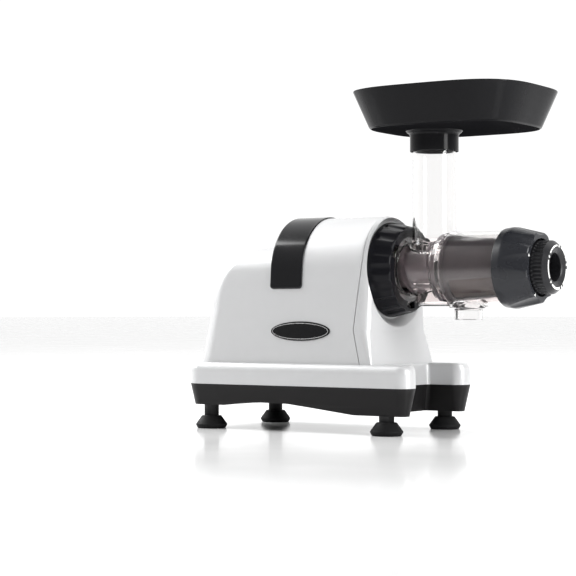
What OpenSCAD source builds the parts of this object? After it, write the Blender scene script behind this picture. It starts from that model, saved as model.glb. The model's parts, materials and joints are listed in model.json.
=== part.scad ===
// Horizontal single-auger juicer: a motor housing on a four-footed plinth drives an auger in a clear drum.
// Origin: on the table under the middle of the whole object. +X runs along the barrel towards the pulp
// outlet, +Y is the far long side, +Z is up. All sizes are millimetres.

/* [Barrel] */
// Height of the barrel axis above the table
barrel_z = 189.5; // [186:0.5:192]
// X of the feed chute's axis
chute_x = 72.5; // [71:0.5:74]
// Outer radius of the feed chute
chute_r = 25.4; // [24.5:0.1:26]
// Outer radius of the drum around the feed end of the auger
feed_r = 31; // [30.5:0.1:31.5]
// Outer radius of the drum around the screen
drum_r = 43; // [42.5:0.1:43.2]
// Wall thickness of the clear drum
drum_wall = 2.5; // [2.2:0.1:2.8]
// X of the juice outlet's axis
outlet_x = 117; // [114:1:120]
// Inner radius of the juice outlet
outlet_bore_r = 13.2; // [12.5:0.1:14]
// Inner radius of the pulp outlet in the adjusting knob
pulp_bore_r = 15.7; // [15:0.1:16.2]
// Outer radius of the adjusting knob
knob_r = 30; // [29:0.5:30.5]

/* [Housing] */
// Half width of the housing where it meets the plinth
housing_half_w = 74; // [72:0.5:76]
// Height of the housing's crest above the table
crest_z = 252.5; // [251:0.5:254]
// Height of the lower top at the motor end
rear_top_z = 219; // [216:0.5:221]
// X of the housing's left end at the plinth
housing_left_x = -217.5; // [-219:0.5:-215]
// Wall thickness of the housing mouldings
shell = 3; // [2.5:0.5:3.5]
// Width of the black carry handle along the barrel axis
handle_w = 45; // [42:1:46]

/* [Base] */
// Half width of the plinth
base_half_w = 82.5; // [81:0.5:84]
// X of the plinth's left end
base_left_x = -227.5; // [-229:0.5:-226]
// X of the two lobes at the plinth's right end
base_right_x = 82; // [80:0.5:84]
// X of the recessed end face between the lobes
notch_x = 36; // [35:0.5:38]
// Half width of the glass recess between the lobes
notch_half_w = 50; // [48:1:51]
// Height of the plinth's top face
plinth_top_z = 79.5; // [79:0.5:80]
// Height of the joint between the silver plinth and the black pan
pan_top_z = 53.6; // [53:0.1:54]
// Radius of a rubber foot at its widest
foot_r = 19.2; // [18.5:0.1:19.5]

/* [Tray] */
// Half length of the tray's rim
rim_a = 108; // [106:0.5:109]
// Half width of the tray's rim
rim_b = 96.4; // [95:0.1:97]
// Height of the tray's rim
rim_z = 393; // [390:0.5:395]
// Height of the underside of the tray
tray_z = 349.7; // [349:0.1:350.5]

/* [Motor] */
// Height of the motor axis above the table
motor_z = 124; // [123.5:0.5:124.5]

/* [Hidden] */
$fn = 96;

// Colours
silver = [0.80, 0.81, 0.82];
black_gloss = [0.07, 0.07, 0.08];
black_satin = [0.12, 0.12, 0.13];
charcoal = [0.2, 0.2, 0.21];
smoke = [0.55, 0.5, 0.47, 0.5];
steel = [0.65, 0.66, 0.68];
copper = [0.72, 0.42, 0.22];
nylon = [0.88, 0.87, 0.82];
rubber = [0.09, 0.09, 0.09];

// Fits between moving pieces, as radial gaps
running = 0.05;
loose = 0.3;

// Lengths along the barrel, measured from the feed chute
ring_back_x = chute_x - 59;
ring_front_x = chute_x - 31;
feed_end_x = chute_x + 12;
bead_end_x = chute_x + 17;
drum_step_x = chute_x + 24;
cap_back_x = chute_x + 95;
drum_end_x = cap_back_x + 8;
cap_front_x = cap_back_x + 41;
knob_back_x = cap_front_x - 10;
knob_front_x = chute_x + 155;
socket_back_x = ring_back_x - 10;
socket_front_x = ring_back_x + 17;

// Lock ring, its bayonet and the drum's plug
ring_back_r = 56.4;
ring_front_r = 50;
plug_r = 38;
socket_r = 43;
lug_r = 45;
lug_angles = [30, 150, 270];
lug_span = 20;
slot_span = 24;
ring_plate = 3;
lug_x = ring_front_x - 10;
lug_t = 4.5;
retainer_x = socket_front_x - 3.6;

// Tray
tray_x = chute_x + 27.7;
floor_a = 90.7;
floor_b = 79.1;
tray_wall = 2.5;
collar_r = 28.3;
collar_low_z = 325.5;
chute_top_z = tray_z - loose;

// Gear train: motor pinion - intermediate gear, intermediate pinion - output gear
pinion_teeth = 12;
middle_teeth = 50;
output_teeth = 60;
module_1 = 1;
module_2 = 1.5;
centre_1 = module_1 * (pinion_teeth + middle_teeth) / 2;
centre_2 = module_2 * (pinion_teeth + output_teeth) / 2;
drop = barrel_z - motor_z;
middle_drop = (centre_2 * centre_2 - centre_1 * centre_1 + drop * drop) / (2 * drop);
middle_y = sqrt(centre_2 * centre_2 - middle_drop * middle_drop);
middle_z = barrel_z - middle_drop;
gear_1_x = -27;
gear_1_w = 9;
gear_2_x = -14;
gear_2_w = 14;
case_back_x = -34;
case_front_x = socket_back_x;
case_wall = 3;

// Motor
stator_back_x = -118;
stator_front_x = -62;
stator_r = 42;
rotor_r = 22;
fan_x = -164;
shaft_r = 5;
pinion_bore_r = 3;
middle_r = 4;
rear_frame_x = -141;
front_frame_x = -49;

// Base and feet
foot_x = [chute_x - 268.6, chute_x - 23.9];
foot_y = 69;
foot_top_z = 22;
foot_spots = [[foot_x[0], -foot_y], [foot_x[1], -foot_y], [foot_x[0], foot_y], [foot_x[1], foot_y]];
boss_spots = [[-190, -56], [-10, -58], [-190, 56], [-10, 58]];
arch_z = 33;
pan_tuck = 7;

// Switch and cord gland on the far side
switch_x = -150;
switch_z = 112;
gland_x = -186;
gland_z = 116;

// Handle and badge
handle_left_x = chute_x - 184.5;
handle_low_z = 167;
badge_x = chute_x - 139;
badge_z = 117.5;

// Points along an arc
function arc(cx, cy, r, from, to, steps) =
    [for (i = [0:steps]) let (a = from + (to - from) * i / steps) [cx + r * cos(a), cy + r * sin(a)]];

// Superellipse radius at an angle
function super_r(a, b, n, t) = 1 / pow(pow(abs(cos(t)) / a, n) + pow(abs(sin(t)) / b, n), 1 / n);

// Closed solid through stacked rings of points that all have the same count
module loft(rings) {
    count = len(rings[0]);
    levels = len(rings);
    sides = [for (k = [0:levels - 2]) for (i = [0:count - 1]) let (j = (i + 1) % count)
        each [[k * count + i, (k + 1) * count + i, (k + 1) * count + j],
              [k * count + i, (k + 1) * count + j, k * count + j]]];
    low = [[for (i = [0:count - 1]) i]];
    high = [[for (i = [0:count - 1]) (levels - 1) * count + count - 1 - i]];
    polyhedron([for (ring = rings) each ring], concat(low, sides, high));
}

// Turns a shape built along +Z so that it runs along the barrel from x
module along_x(x, y = 0, z = barrel_z) {
    translate([x, y, z]) rotate([90, 0, 90]) children();
}

// Round bar or tube along the barrel direction
module bar_x(x0, x1, r, y = 0, z = barrel_z) {
    along_x(x0, y, z) cylinder(h = x1 - x0, r = r);
}

// Solid of revolution about the barrel axis from [x, r] points
module turned(profile, y = 0, z = barrel_z) {
    translate([0, y, z]) rotate([0, 90, 0]) rotate([0, 0, 180]) rotate_extrude()
        polygon([for (p = profile) [p[1], p[0]]]);
}

// Extrudes an outline drawn in X and Z across the whole width
module across_y(half_w) {
    rotate([90, 0, 0]) linear_extrude(2 * half_w, center = true) children();
}

// --- Housing form ---

crown_r = 66;
crown_z = crest_z - crown_r;
reach = norm([housing_half_w, crown_z - plinth_top_z]);
tangent_a = atan2(crown_z - plinth_top_z, -housing_half_w) - asin(crown_r / reach);
crown_from = tangent_a - 90;
side_lean = crown_from;
seam = [[12, 300], [14, 200], [11, 171], [5.5, 119], [16.5, plinth_top_z - 1]];
face_x = 24;
flare_x = 31;
kink_z = 119;
roll_r = 14;
roll_in = 12;

// Height of a form's underside: inner forms run past it so that the shells are open below
function low_z(inset) = plinth_top_z + (inset > 0 ? -2 : 0.1);

// Section across the hump down to a low edge: drafted sides under a round crown
function hump_section(inset, low) = concat(
    [[housing_half_w - inset, low]],
    arc(0, crown_z, crown_r - inset, crown_from, 180 - crown_from, 28),
    [[-housing_half_w + inset, low]]);

rear_corner_r = 36;
rear_side_x = crown_r * cos(crown_from) - 0.5;

// Section across the motor end: drafted sides, round shoulders, flat top
function rear_section(inset) = concat(
    [[housing_half_w - inset, low_z(inset)]],
    arc(rear_side_x - rear_corner_r + 1, rear_top_z - rear_corner_r, rear_corner_r - inset, 4, 90, 8),
    arc(-rear_side_x + rear_corner_r - 1, rear_top_z - rear_corner_r, rear_corner_r - inset, 90, 176, 8),
    [[-housing_half_w + inset, low_z(inset)]]);

end_lean = 10.5;
end_knee_z = 145;
end_run = 79;
end_power = 2.2;

// Side outline of the motor end: a leaning end wall that rolls over into the top
function rear_outline(inset) = concat(
    [[stator_front_x, plinth_top_z - 3], [housing_left_x + inset, plinth_top_z - 3]],
    [for (i = [0:10])
        let (t = 9 * i, r = super_r(end_run - inset, rear_top_z - end_knee_z - inset, end_power, t))
        [housing_left_x + end_lean + end_run - r * cos(t), end_knee_z + r * sin(t)]],
    [[stator_front_x, rear_top_z - inset]]);

corner_r = 20;

// Plan outline of the motor end, with round corners
function rear_plan(inset) = concat(
    arc(housing_left_x + corner_r, housing_half_w - corner_r, corner_r - inset, 90, 180, 6),
    arc(housing_left_x + corner_r, -housing_half_w + corner_r, corner_r - inset, 180, 270, 6),
    [[stator_front_x, -housing_half_w + inset], [stator_front_x, housing_half_w - inset]]);

module rear_form(inset) {
    intersection() {
        across_y(100) polygon(rear_outline(inset));
        along_x(-240, 0, 0) linear_extrude(240) polygon(rear_section(inset));
        linear_extrude(300) polygon(rear_plan(inset));
    }
}

// Rings of the hump from its step to the rolled edge round the front face
function hump_rings(inset) = [for (p = concat(
    [[handle_left_x + inset, 0]],
    [for (t = [0:22.5:90]) [face_x - roll_r + (roll_r - inset) * sin(t), roll_in * (1 - cos(t))]]))
    [for (q = hump_section(inset + p[1], low_z(inset))) [p[0], q[0], q[1]]]];

// Plan outline of the bezel's foot at a height: half width w, front face at x, corner radius r
function foot_ring(w, x, r, z) = [for (p = concat([[0, -w]], arc(x - r, -w + r, r, 270, 360, 6),
    arc(x - r, w - r, r, 0, 90, 6), [[0, w]])) [p[0], p[1], z]];

// Half width of the drafted sides at a height
function side_w(z) = housing_half_w - (z - plinth_top_z) * tan(side_lean);

module hump_form(inset) {
    loft(hump_rings(inset));
    loft([
        foot_ring(side_w(plinth_top_z) - inset, flare_x - inset, 4, low_z(inset)),
        foot_ring(side_w(100) - inset, (face_x + flare_x) / 2 - inset, 8, 100),
        foot_ring(side_w(kink_z) - inset, face_x - inset, roll_in, kink_z)]);
}

// Everything on the motor's side of the seam between the housing and the bezel
module motor_side(gap) {
    across_y(100) polygon(concat([[-240, plinth_top_z - 1], [-240, 300]], [for (p = seam) p + [gap, 0]]));
}

pocket_low_z = rear_top_z + 4;
pocket_half_y = 48;
grip_t = 9;

module finger_pocket(grow) {
    translate([handle_left_x - 5, -pocket_half_y - grow, pocket_low_z - grow])
        cube([handle_w - 6 + grow, 2 * (pocket_half_y + grow), 60]);
}

module housing_bosses() {
    for (p = boss_spots) translate([p[0], p[1], plinth_top_z + 0.1]) {
        cylinder(h = 24, r = 5.5);
        translate([-1.5, p[1] > 0 ? 4 : -14, 0]) cube([3, 10, 24]);
    }
}

module switch_spot() {
    translate([switch_x, housing_half_w - (switch_z - plinth_top_z) * tan(side_lean), switch_z])
        rotate([side_lean - 90, 0, 0]) children();
}

module gland_spot() {
    translate([gland_x, housing_half_w - (gland_z - plinth_top_z) * tan(side_lean), gland_z])
        rotate([side_lean - 90, 0, 0]) children();
}

module motor_housing() {
    color(silver) difference() {
        union() {
            difference() {
                union() {
                    rear_form(0);
                    intersection() {
                        hump_form(0);
                        motor_side(0);
                    }
                }
                rear_form(shell);
                hump_form(shell);
            }
            intersection() {
                hump_form(0);
                finger_pocket(shell);
            }
            housing_bosses();
        }
        finger_pocket(0);
        for (p = boss_spots) translate([p[0], p[1], plinth_top_z - 1]) cylinder(h = 18, r = 1.9);
        switch_spot() translate([-10.5, -7, -6]) cube([21, 14, 12]);
        gland_spot() translate([0, 0, -8]) cylinder(h = 16, r = 7);
        for (i = [0:7]) translate([-120 + 9 * i, 60, 92]) cube([4, 24, 14]);
    }
}

dish_low_r = 57.6;
dish_high_r = 68;
dish_x = ring_back_x - 0.9;
bezel_bosses = [for (a = [50, 125, 250, 290]) [50 * cos(a), barrel_z + 50 * sin(a)]];

module dish(grow) {
    along_x(dish_x - grow) cylinder(h = face_x + 1 - dish_x, r1 = dish_low_r + grow, r2 = dish_high_r + grow);
    bar_x(face_x + 1 - grow - 0.01, face_x + 30, dish_high_r + grow);
}

module end_bezel() {
    color(silver) difference() {
        union() {
            difference() {
                hump_form(0);
                hump_form(shell);
            }
            intersection() {
                hump_form(0);
                dish(shell);
            }
            for (p = bezel_bosses) bar_x(socket_back_x + 3.1, dish_x - 1, 4, p[0], p[1]);
        }
        motor_side(0.15);
        dish(0);
        bar_x(-10, 40, socket_r + 0.4);
    }
}

// --- Base ---

lobe_r = 15;
inner_r = 5;

// Plan outline of the plinth with its two lobes, all sides moved in by inset
function base_plan(inset) = let (
        w = base_half_w - inset,
        left = base_left_x + inset,
        right = base_right_x - inset,
        notch_w = notch_half_w + inset,
        back = notch_x - inset,
        r = max(corner_r - inset, 2),
        lobe = max(lobe_r - inset, 1.5))
    concat(
        arc(left + r, w - r, r, 90, 180, 6),
        arc(left + r, -w + r, r, 180, 270, 6),
        arc(right - lobe, -w + lobe, lobe, 270, 360, 6),
        arc(right - lobe, -notch_w - lobe, lobe, 0, 90, 6),
        arc(back + inner_r, -notch_w + inner_r, inner_r, 270, 180, 4),
        arc(back + inner_r, notch_w - inner_r, inner_r, 180, 90, 4),
        arc(right - lobe, notch_w + lobe, lobe, 270, 360, 6),
        arc(right - lobe, w - lobe, lobe, 0, 90, 6));

plinth_roll = 11;
plinth_roll_in = 7;

// Block outline with elliptical round upper corners, from x0 to x1 and from low to high
function rolled_block(x0, x1, low, high) = concat(
    [[x0, low]],
    [for (t = [0:18:90]) [x0 + plinth_roll_in * (1 - cos(t)), high - plinth_roll * (1 - sin(t))]],
    [for (t = [90:-18:0]) [x1 - plinth_roll_in * (1 - cos(t)), high - plinth_roll * (1 - sin(t))]],
    [[x1, low]]);

module plinth_form(inset) {
    low = pan_top_z - (inset > 0 ? 2 : 0);
    high = plinth_top_z - inset;
    intersection() {
        linear_extrude(100) polygon(base_plan(inset));
        along_x(-240, 0, 0) linear_extrude(400)
            polygon(rolled_block(-base_half_w + inset, base_half_w - inset, low, high));
        across_y(100) polygon(rolled_block(base_left_x + inset, base_right_x - inset, low, high));
    }
}

module base_cover() {
    color(silver) difference() {
        union() {
            difference() {
                plinth_form(0);
                plinth_form(shell);
            }
            for (p = boss_spots) translate([p[0], p[1], pan_top_z + 0.1])
                cylinder(h = plinth_top_z - pan_top_z - 1, r = 7);
        }
        for (p = boss_spots) translate([p[0], p[1], 0]) cylinder(h = 100, r = 2.3);
        translate([-175, -45, plinth_top_z - 10]) cube([185, 90, 20]);
    }
}

// Underside of the black pan: legs at each end with a long arch between them
function belly(rise) = [[base_left_x + pan_tuck, arch_z - 4.6 + rise], [chute_x - 245, arch_z - 4.6 + rise],
    [chute_x - 220, arch_z - 1.5 + rise], [chute_x - 190, arch_z + rise],
    [chute_x - 153, arch_z - 0.5 + rise], [chute_x - 118, arch_z - 4.5 + rise],
    [chute_x - 64, foot_top_z + rise]];

module pan_form(inset, rise) {
    top = pan_top_z - 0.1 + (inset > 1 ? 2 : 0);
    tuck = pan_tuck + inset;
    intersection() {
        linear_extrude(top) polygon(base_plan(inset));
        along_x(-240, 0, 0) linear_extrude(400) polygon([[-base_half_w + tuck, foot_top_z],
            [base_half_w - tuck, foot_top_z], [base_half_w - inset, top], [-base_half_w + inset, top]]);
        across_y(100) polygon(concat(belly(rise), [[base_right_x - tuck, foot_top_z + rise],
            [base_right_x - inset, top], [base_left_x + inset, top]]));
    }
}

module base_pan() {
    color(black_satin) difference() {
        union() {
            difference() {
                pan_form(0, 0);
                pan_form(shell, shell);
            }
            intersection() {
                pan_form(0.5, 0.5);
                union() {
                    for (p = foot_spots) translate([p[0], p[1], 0]) cylinder(h = 40, r = 7);
                    for (p = boss_spots) translate([p[0], p[1], 0]) cylinder(h = pan_top_z - 0.2, r = 5.5);
                }
            }
        }
        for (p = foot_spots) translate([p[0], p[1], 0]) cylinder(h = 60, r = 1.8);
        for (p = boss_spots) translate([p[0], p[1], 0]) {
            cylinder(h = 100, r = 2.3);
            cylinder(h = 46, r = 4.2);
        }
        for (i = [0:11]) translate([-170 + 9 * i, -30, 20]) cube([4, 60, 20]);
    }
}

leg_z = [for (p = foot_spots) p[0] < 0 ? 28.4 : foot_top_z];

module foot(index) {
    p = foot_spots[index];
    top = leg_z[index];
    color(rubber) translate([p[0], p[1], 0]) rotate_extrude() difference() {
        polygon([[2, 0], [foot_r - 2.5, 0], [foot_r, 4.5], [11.7, 15], [8.7, 15], [8.7, top], [2, top]]);
        square([5, 9]);
    }
}

module foot_screw(index) {
    p = foot_spots[index];
    color(steel) translate([p[0], p[1], 0]) {
        translate([0, 0, 6]) cylinder(h = 2.9, r = 4.4);
        translate([0, 0, 8.8]) cylinder(h = 28, r = 1.75);
    }
}

module foot_1() { foot(0); }
module foot_2() { foot(1); }
module foot_3() { foot(2); }
module foot_4() { foot(3); }
module foot_screw_1() { foot_screw(0); }
module foot_screw_2() { foot_screw(1); }
module foot_screw_3() { foot_screw(2); }
module foot_screw_4() { foot_screw(3); }

module housing_screw(index) {
    p = boss_spots[index];
    color(steel) translate([p[0], p[1], 0]) {
        translate([0, 0, 43]) cylinder(h = 2.9, r = 3.9);
        translate([0, 0, 45.8]) cylinder(h = 50, r = 1.85);
    }
}

module housing_screw_1() { housing_screw(0); }
module housing_screw_2() { housing_screw(1); }
module housing_screw_3() { housing_screw(2); }
module housing_screw_4() { housing_screw(3); }

// --- Handle and badge ---

band_proud = 1.6;

module handle_body(outset) {
    along_x(handle_left_x + 0.5, 0, 0) linear_extrude(handle_w) polygon(hump_section(outset, plinth_top_z));
}

module carry_handle() {
    color(black_gloss) difference() {
        handle_body(-band_proud);
        difference() {
            handle_body(-0.05);
            finger_pocket(-0.3);
        }
        handle_body(grip_t);
        translate([-240, -100, 0]) cube([300, 200, handle_low_z]);
    }
}

module badge() {
    face_y = -housing_half_w + (badge_z - plinth_top_z) * tan(side_lean);
    color(black_gloss) translate([badge_x, face_y, badge_z]) rotate([90 - side_lean, 0, 0])
        translate([0, 0, 0.1]) linear_extrude(1.4)
            polygon([for (t = [0:7.5:352.5]) [41 * cos(t), 11.4 * sin(t)]]);
}

// --- Gearbox ---

module gear_hollow(grow) {
    back = case_back_x + case_wall - grow;
    bar_x(back, case_front_x, output_teeth * module_2 / 2 + 4 + grow);
    bar_x(back, case_front_x, middle_teeth * module_1 / 2 + 4 + grow, middle_y, middle_z);
    bar_x(back, case_front_x, 14 + grow, 0, motor_z);
}

case_rim_r = output_teeth * module_2 / 2 + 4 + case_wall / 2;
case_screw_spots = concat(
    [for (a = [20, 90, 160, 215]) [case_rim_r * cos(a), barrel_z + case_rim_r * sin(a)]],
    [[0, motor_z - 14 - case_wall / 2]]);

module case_screw_holes(r) {
    for (p = case_screw_spots) bar_x(case_front_x - 12, 40, r, p[0], p[1]);
}

module gearbox_case() {
    color(steel) difference() {
        gear_hollow(case_wall);
        gear_hollow(0);
        bar_x(case_back_x - 1, 0, 11 + running, 0, motor_z);
        bar_x(case_back_x - 1, 0, bushing_r, middle_y, middle_z);
        bar_x(case_back_x - 1, 0, 16, 0, barrel_z);
        case_screw_holes(1.25);
    }
}

module gearbox_cover() {
    color(steel) difference() {
        union() {
            bar_x(case_front_x + 0.1, socket_back_x + 3, output_teeth * module_2 / 2 + 4 + case_wall);
            bar_x(case_front_x + 0.1, socket_back_x + 3, middle_teeth * module_1 / 2 + 7, middle_y, middle_z);
            bar_x(case_front_x + 0.1, socket_back_x + 3, 14 + case_wall, 0, motor_z);
            bar_x(socket_back_x, socket_front_x, socket_r);
        }
        bar_x(socket_back_x + 3, socket_front_x + 1, plug_r + 0.1);
        bar_x(-10, 40, 17);
        bar_x(-10, 40, middle_r + running, middle_y, middle_z);
        case_screw_holes(1.4);
        along_x(retainer_x) difference() {
            cylinder(h = 1.7, r = socket_r + 2);
            translate([0, 0, -1]) cylinder(h = 4, r = socket_r - 1.5);
        }
    }
}

module gearbox_screws() {
    color(steel) for (p = case_screw_spots) {
        bar_x(socket_back_x + 3.05, socket_back_x + 4.8, 2.6, p[0], p[1]);
        bar_x(case_front_x - 11, socket_back_x + 3.1, 1.25, p[0], p[1]);
    }
}

module ring_retainer() {
    color(steel) turned([[retainer_x + 0.1, socket_r - 1.4], [retainer_x + 0.1, socket_r + 2.5],
        [retainer_x + 1.6, socket_r + 2.5], [retainer_x + 1.6, socket_r - 1.4]]);
}

module tube_x(x0, x1, r_in, r_out, y = 0, z = barrel_z) {
    turned([[x0, r_in], [x1, r_in], [x1, r_out], [x0, r_out]], y, z);
}

output_shaft_r = 9;
bushing_r = 6.9;

module output_bearing() {
    color(steel) {
        tube_x(socket_back_x - 3, socket_back_x + 2.5, output_shaft_r + running, 17);
        tube_x(case_back_x - 3, case_back_x + 5, output_shaft_r + running, 16);
    }
}

module middle_bushing() {
    color([0.75, 0.6, 0.3])
        tube_x(case_back_x - 3, case_back_x + 4, middle_r + running, bushing_r, middle_y, middle_z);
}

module motor_bearings() {
    color(steel) {
        tube_x(front_frame_x, front_frame_x + 7, shaft_r + running, 11, 0, motor_z);
        tube_x(rear_frame_x, rear_frame_x + 7, shaft_r + running, 11, 0, motor_z);
    }
}

// --- Motor ---

module frame_plate(x) {
    difference() {
        union() {
            tube_x(x, x + 7, 11, 15, 0, motor_z);
            for (a = [45, 135]) translate([x + 2, 0, motor_z]) rotate([a, 0, 0])
                cube([6, 88, 12], center = true);
        }
        bar_x(x - 5, x + 10, 11, 0, motor_z);
        motor_bolt_holes();
    }
}

bolt_r = 2;
bolt_ring_r = 38;

module motor_bolt_holes() {
    for (a = [45:90:315])
        bar_x(-200, 0, bolt_r + 0.05, bolt_ring_r * cos(a), motor_z + bolt_ring_r * sin(a));
}

module motor_end_frames() {
    color(steel) {
        frame_plate(front_frame_x);
        frame_plate(rear_frame_x);
    }
}

module motor_bolts() {
    color(steel) for (a = [45:90:315]) {
        bar_x(rear_frame_x - 6, case_back_x - 0.1, bolt_r,
            bolt_ring_r * cos(a), motor_z + bolt_ring_r * sin(a));
    }
}

module stator_core() {
    color(steel) difference() {
        bar_x(stator_back_x, stator_front_x, stator_r, 0, motor_z);
        bar_x(stator_back_x - 1, stator_front_x + 1, rotor_r + 0.6, 0, motor_z);
        motor_bolt_holes();
    }
}

module stator_coils() {
    color(copper) {
        tube_x(stator_back_x - 11, stator_back_x - 0.1, rotor_r + 3, stator_r - 8, 0, motor_z);
        tube_x(stator_front_x + 0.1, stator_front_x + 9, rotor_r + 3, stator_r - 8, 0, motor_z);
    }
}

module rotor_core() {
    color(steel) tube_x(stator_back_x - 2, stator_front_x + 2, shaft_r, rotor_r, 0, motor_z);
}

module motor_shaft() {
    color(steel) {
        bar_x(fan_x - 2, gear_1_x - 1, shaft_r, 0, motor_z);
        bar_x(gear_1_x - 2, gear_1_x + gear_1_w + 2, pinion_bore_r, 0, motor_z);
    }
}

module cooling_fan() {
    color(nylon) {
        tube_x(fan_x, fan_x + 14, shaft_r, 10, 0, motor_z);
        tube_x(fan_x, fan_x + 2, 10, 36, 0, motor_z);
        for (a = [0:40:320]) translate([fan_x + 1.9, 0, motor_z]) rotate([a, 0, 0])
            translate([0, -0.9, 9.5]) cube([12, 1.8, 26]);
    }
}

// --- Gears ---

pressure = 20;

// Half angle of a tooth, in degrees, at radius r on a gear of pitch radius pitch_r
function tooth_half(r, pitch_r, teeth, slack) = let (
        base_r = pitch_r * cos(pressure),
        a = acos(min(1, base_r / max(r, base_r))),
        involute = tan(a) - a * PI / 180,
        pitch_involute = tan(pressure) - pressure * PI / 180)
    (PI / 2 / teeth - slack / pitch_r / 2 + pitch_involute - involute) * 180 / PI;

// Spur gear outline, with the middle of one tooth on the polygon's +X axis
function gear_outline(teeth, mod, slack) = let (
        pitch_r = mod * teeth / 2,
        tip_r = pitch_r + mod * 0.95,
        root_r = pitch_r - mod * 1.2,
        low_r = max(root_r + 0.1 * mod, pitch_r * cos(pressure)),
        radii = [low_r, (low_r + tip_r) / 2, tip_r],
        root_half = tooth_half(low_r, pitch_r, teeth, slack) + 1.2 * mod / pitch_r * 4)
    [for (i = [0:teeth - 1]) let (a = 360 * i / teeth) each concat(
        [[root_r * cos(a - root_half), root_r * sin(a - root_half)]],
        [for (r = radii) let (h = tooth_half(r, pitch_r, teeth, slack)) [r * cos(a - h), r * sin(a - h)]],
        [for (k = [2:-1:0]) let (r = radii[k], h = tooth_half(r, pitch_r, teeth, slack))
            [r * cos(a + h), r * sin(a + h)]],
        [[root_r * cos(a + root_half), root_r * sin(a + root_half)]])];

module gear_x(x, w, teeth, mod, bore, phase, y, z) {
    along_x(x, y, z) difference() {
        rotate([0, 0, phase]) linear_extrude(w) polygon(gear_outline(teeth, mod, 0.16));
        translate([0, 0, -1]) cylinder(h = w + 2, r = bore);
    }
}

// Directions, in the Y-Z plane, from one gear's axis to the next
motor_to_middle = atan2(middle_z - motor_z, middle_y);
middle_to_output = atan2(barrel_z - middle_z, -middle_y);

module motor_pinion() {
    color(steel) gear_x(gear_1_x, gear_1_w, pinion_teeth, module_1, pinion_bore_r, motor_to_middle,
        0, motor_z);
}

module middle_gear() {
    color(nylon) gear_x(gear_1_x + 0.5, gear_1_w - 1, middle_teeth, module_1, middle_r,
        motor_to_middle + 180 + 180 / middle_teeth, middle_y, middle_z);
}

module middle_pinion() {
    color(steel) gear_x(gear_2_x, gear_2_w, pinion_teeth, module_2, middle_r, middle_to_output,
        middle_y, middle_z);
}

module output_gear() {
    color(nylon) gear_x(gear_2_x + 0.5, gear_2_w - 1, output_teeth, module_2, output_shaft_r,
        middle_to_output + 180 + 180 / output_teeth, 0, barrel_z);
}

module middle_shaft() {
    color(steel) bar_x(case_back_x - 2, socket_back_x + 2.8, middle_r, middle_y, middle_z);
}

tail_flat = 10;
tail_back_x = ring_back_x - 20;

module output_shaft() {
    color(steel) difference() {
        bar_x(case_back_x - 2, socket_back_x + 2, output_shaft_r);
        along_x(tail_back_x - 1) rotate([0, 0, 30])
            cylinder(h = 60, r = (tail_flat / 2 + 0.15) / cos(30), $fn = 6);
    }
}

// --- Electrics ---

capacitor_y = -18;
capacitor_z = rear_top_z - 24;

module capacitor() {
    color([0.85, 0.85, 0.85]) bar_x(-158, -110, 14, capacitor_y, capacitor_z);
}

module capacitor_clip() {
    color(steel) difference() {
        union() {
            tube_x(-131, -121, 14.05, 15.2, capacitor_y, capacitor_z);
            translate([-131, capacitor_y - 3, capacitor_z + 14.2]) cube([10, 6, 24 - shell - 14.3]);
        }
        bar_x(-170, -100, 14.03, capacitor_y, capacitor_z);
    }
}

module switch_frame() {
    color(black_satin) switch_spot() difference() {
        union() {
            translate([-13, -9.5, 0.1]) cube([26, 19, 1.6]);
            translate([-10.3, -6.8, -5.8]) translate([0, 0, -12]) cube([20.6, 13.6, 18]);
        }
        translate([-8.5, -5.4, -14]) cube([17, 10.8, 30]);
        rotate([0, 90, 0]) cylinder(h = 19.4, r = 1.2 + running, center = true);
    }
}

module switch_rocker() {
    color([0.75, 0.75, 0.75]) switch_spot() difference() {
        union() {
            translate([-8, -4.2, -3]) cube([16, 8.4, 7]);
            rotate([0, 90, 0]) cylinder(h = 19.2, r = 1.2, center = true);
        }
        translate([0, 0, 9.5]) rotate([0, 90, 0]) cylinder(h = 30, r = 7, center = true);
    }
}

module cord_gland() {
    color(rubber) gland_spot() difference() {
        union() {
            translate([0, 0, -shell - 2.6]) cylinder(h = shell + 6, r = 6.9);
            translate([0, 0, 0.1]) cylinder(h = 4, r = 9);
            translate([0, 0, -shell - 3.1]) cylinder(h = 3, r = 9);
        }
        translate([0, 0, -20]) cylinder(h = 40, r = 3.7);
    }
}

// --- Drum and what sits in it ---

screen_x = drum_step_x + 3;
screen_end_x = drum_end_x - 1;
screen_back_r = 38;
screen_front_r = 31.5;
belly_low_z = barrel_z - feed_r - 12;
belly_top_z = barrel_z - 23.5;
belly_half_w = 20;
belly_x = chute_x - 22;
drum_back_x = socket_back_x + 4.5;
throat_z = barrel_z + feed_r - 1;
neck_r = 10;

// Outside of the drum along the barrel
module drum_outside() {
    turned([[drum_back_x, neck_r + running], [drum_back_x, plug_r], [ring_front_x - 1, plug_r],
        [ring_front_x - 1, feed_r], [feed_end_x, feed_r], [feed_end_x, feed_r + 8],
        [bead_end_x, feed_r + 8], [bead_end_x, drum_r - 1], [drum_step_x, drum_r],
        [drum_end_x, drum_r], [drum_end_x, neck_r + running]]);
}

// Room inside the drum along the barrel
module drum_inside() {
    turned([[drum_back_x + 4, 0], [drum_back_x + 4, feed_r - drum_wall],
        [drum_step_x - 3, feed_r - drum_wall], [drum_step_x - 3, drum_r - 4],
        [drum_step_x + 3, drum_r - drum_wall],
        [drum_end_x + 1, drum_r - drum_wall], [drum_end_x + 1, 0]]);
}

// Juice channel that hangs below the feed section, with a round end
module channel(grow, top) {
    round_x = belly_x + belly_half_w;
    tall = top - belly_low_z + grow;
    wide = belly_half_w + grow;
    translate([round_x, 0, belly_low_z - grow]) {
        cylinder(h = tall, r = wide);
        translate([0, -wide, 0]) cube([drum_step_x - round_x + 2, 2 * wide, tall]);
    }
}

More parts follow.
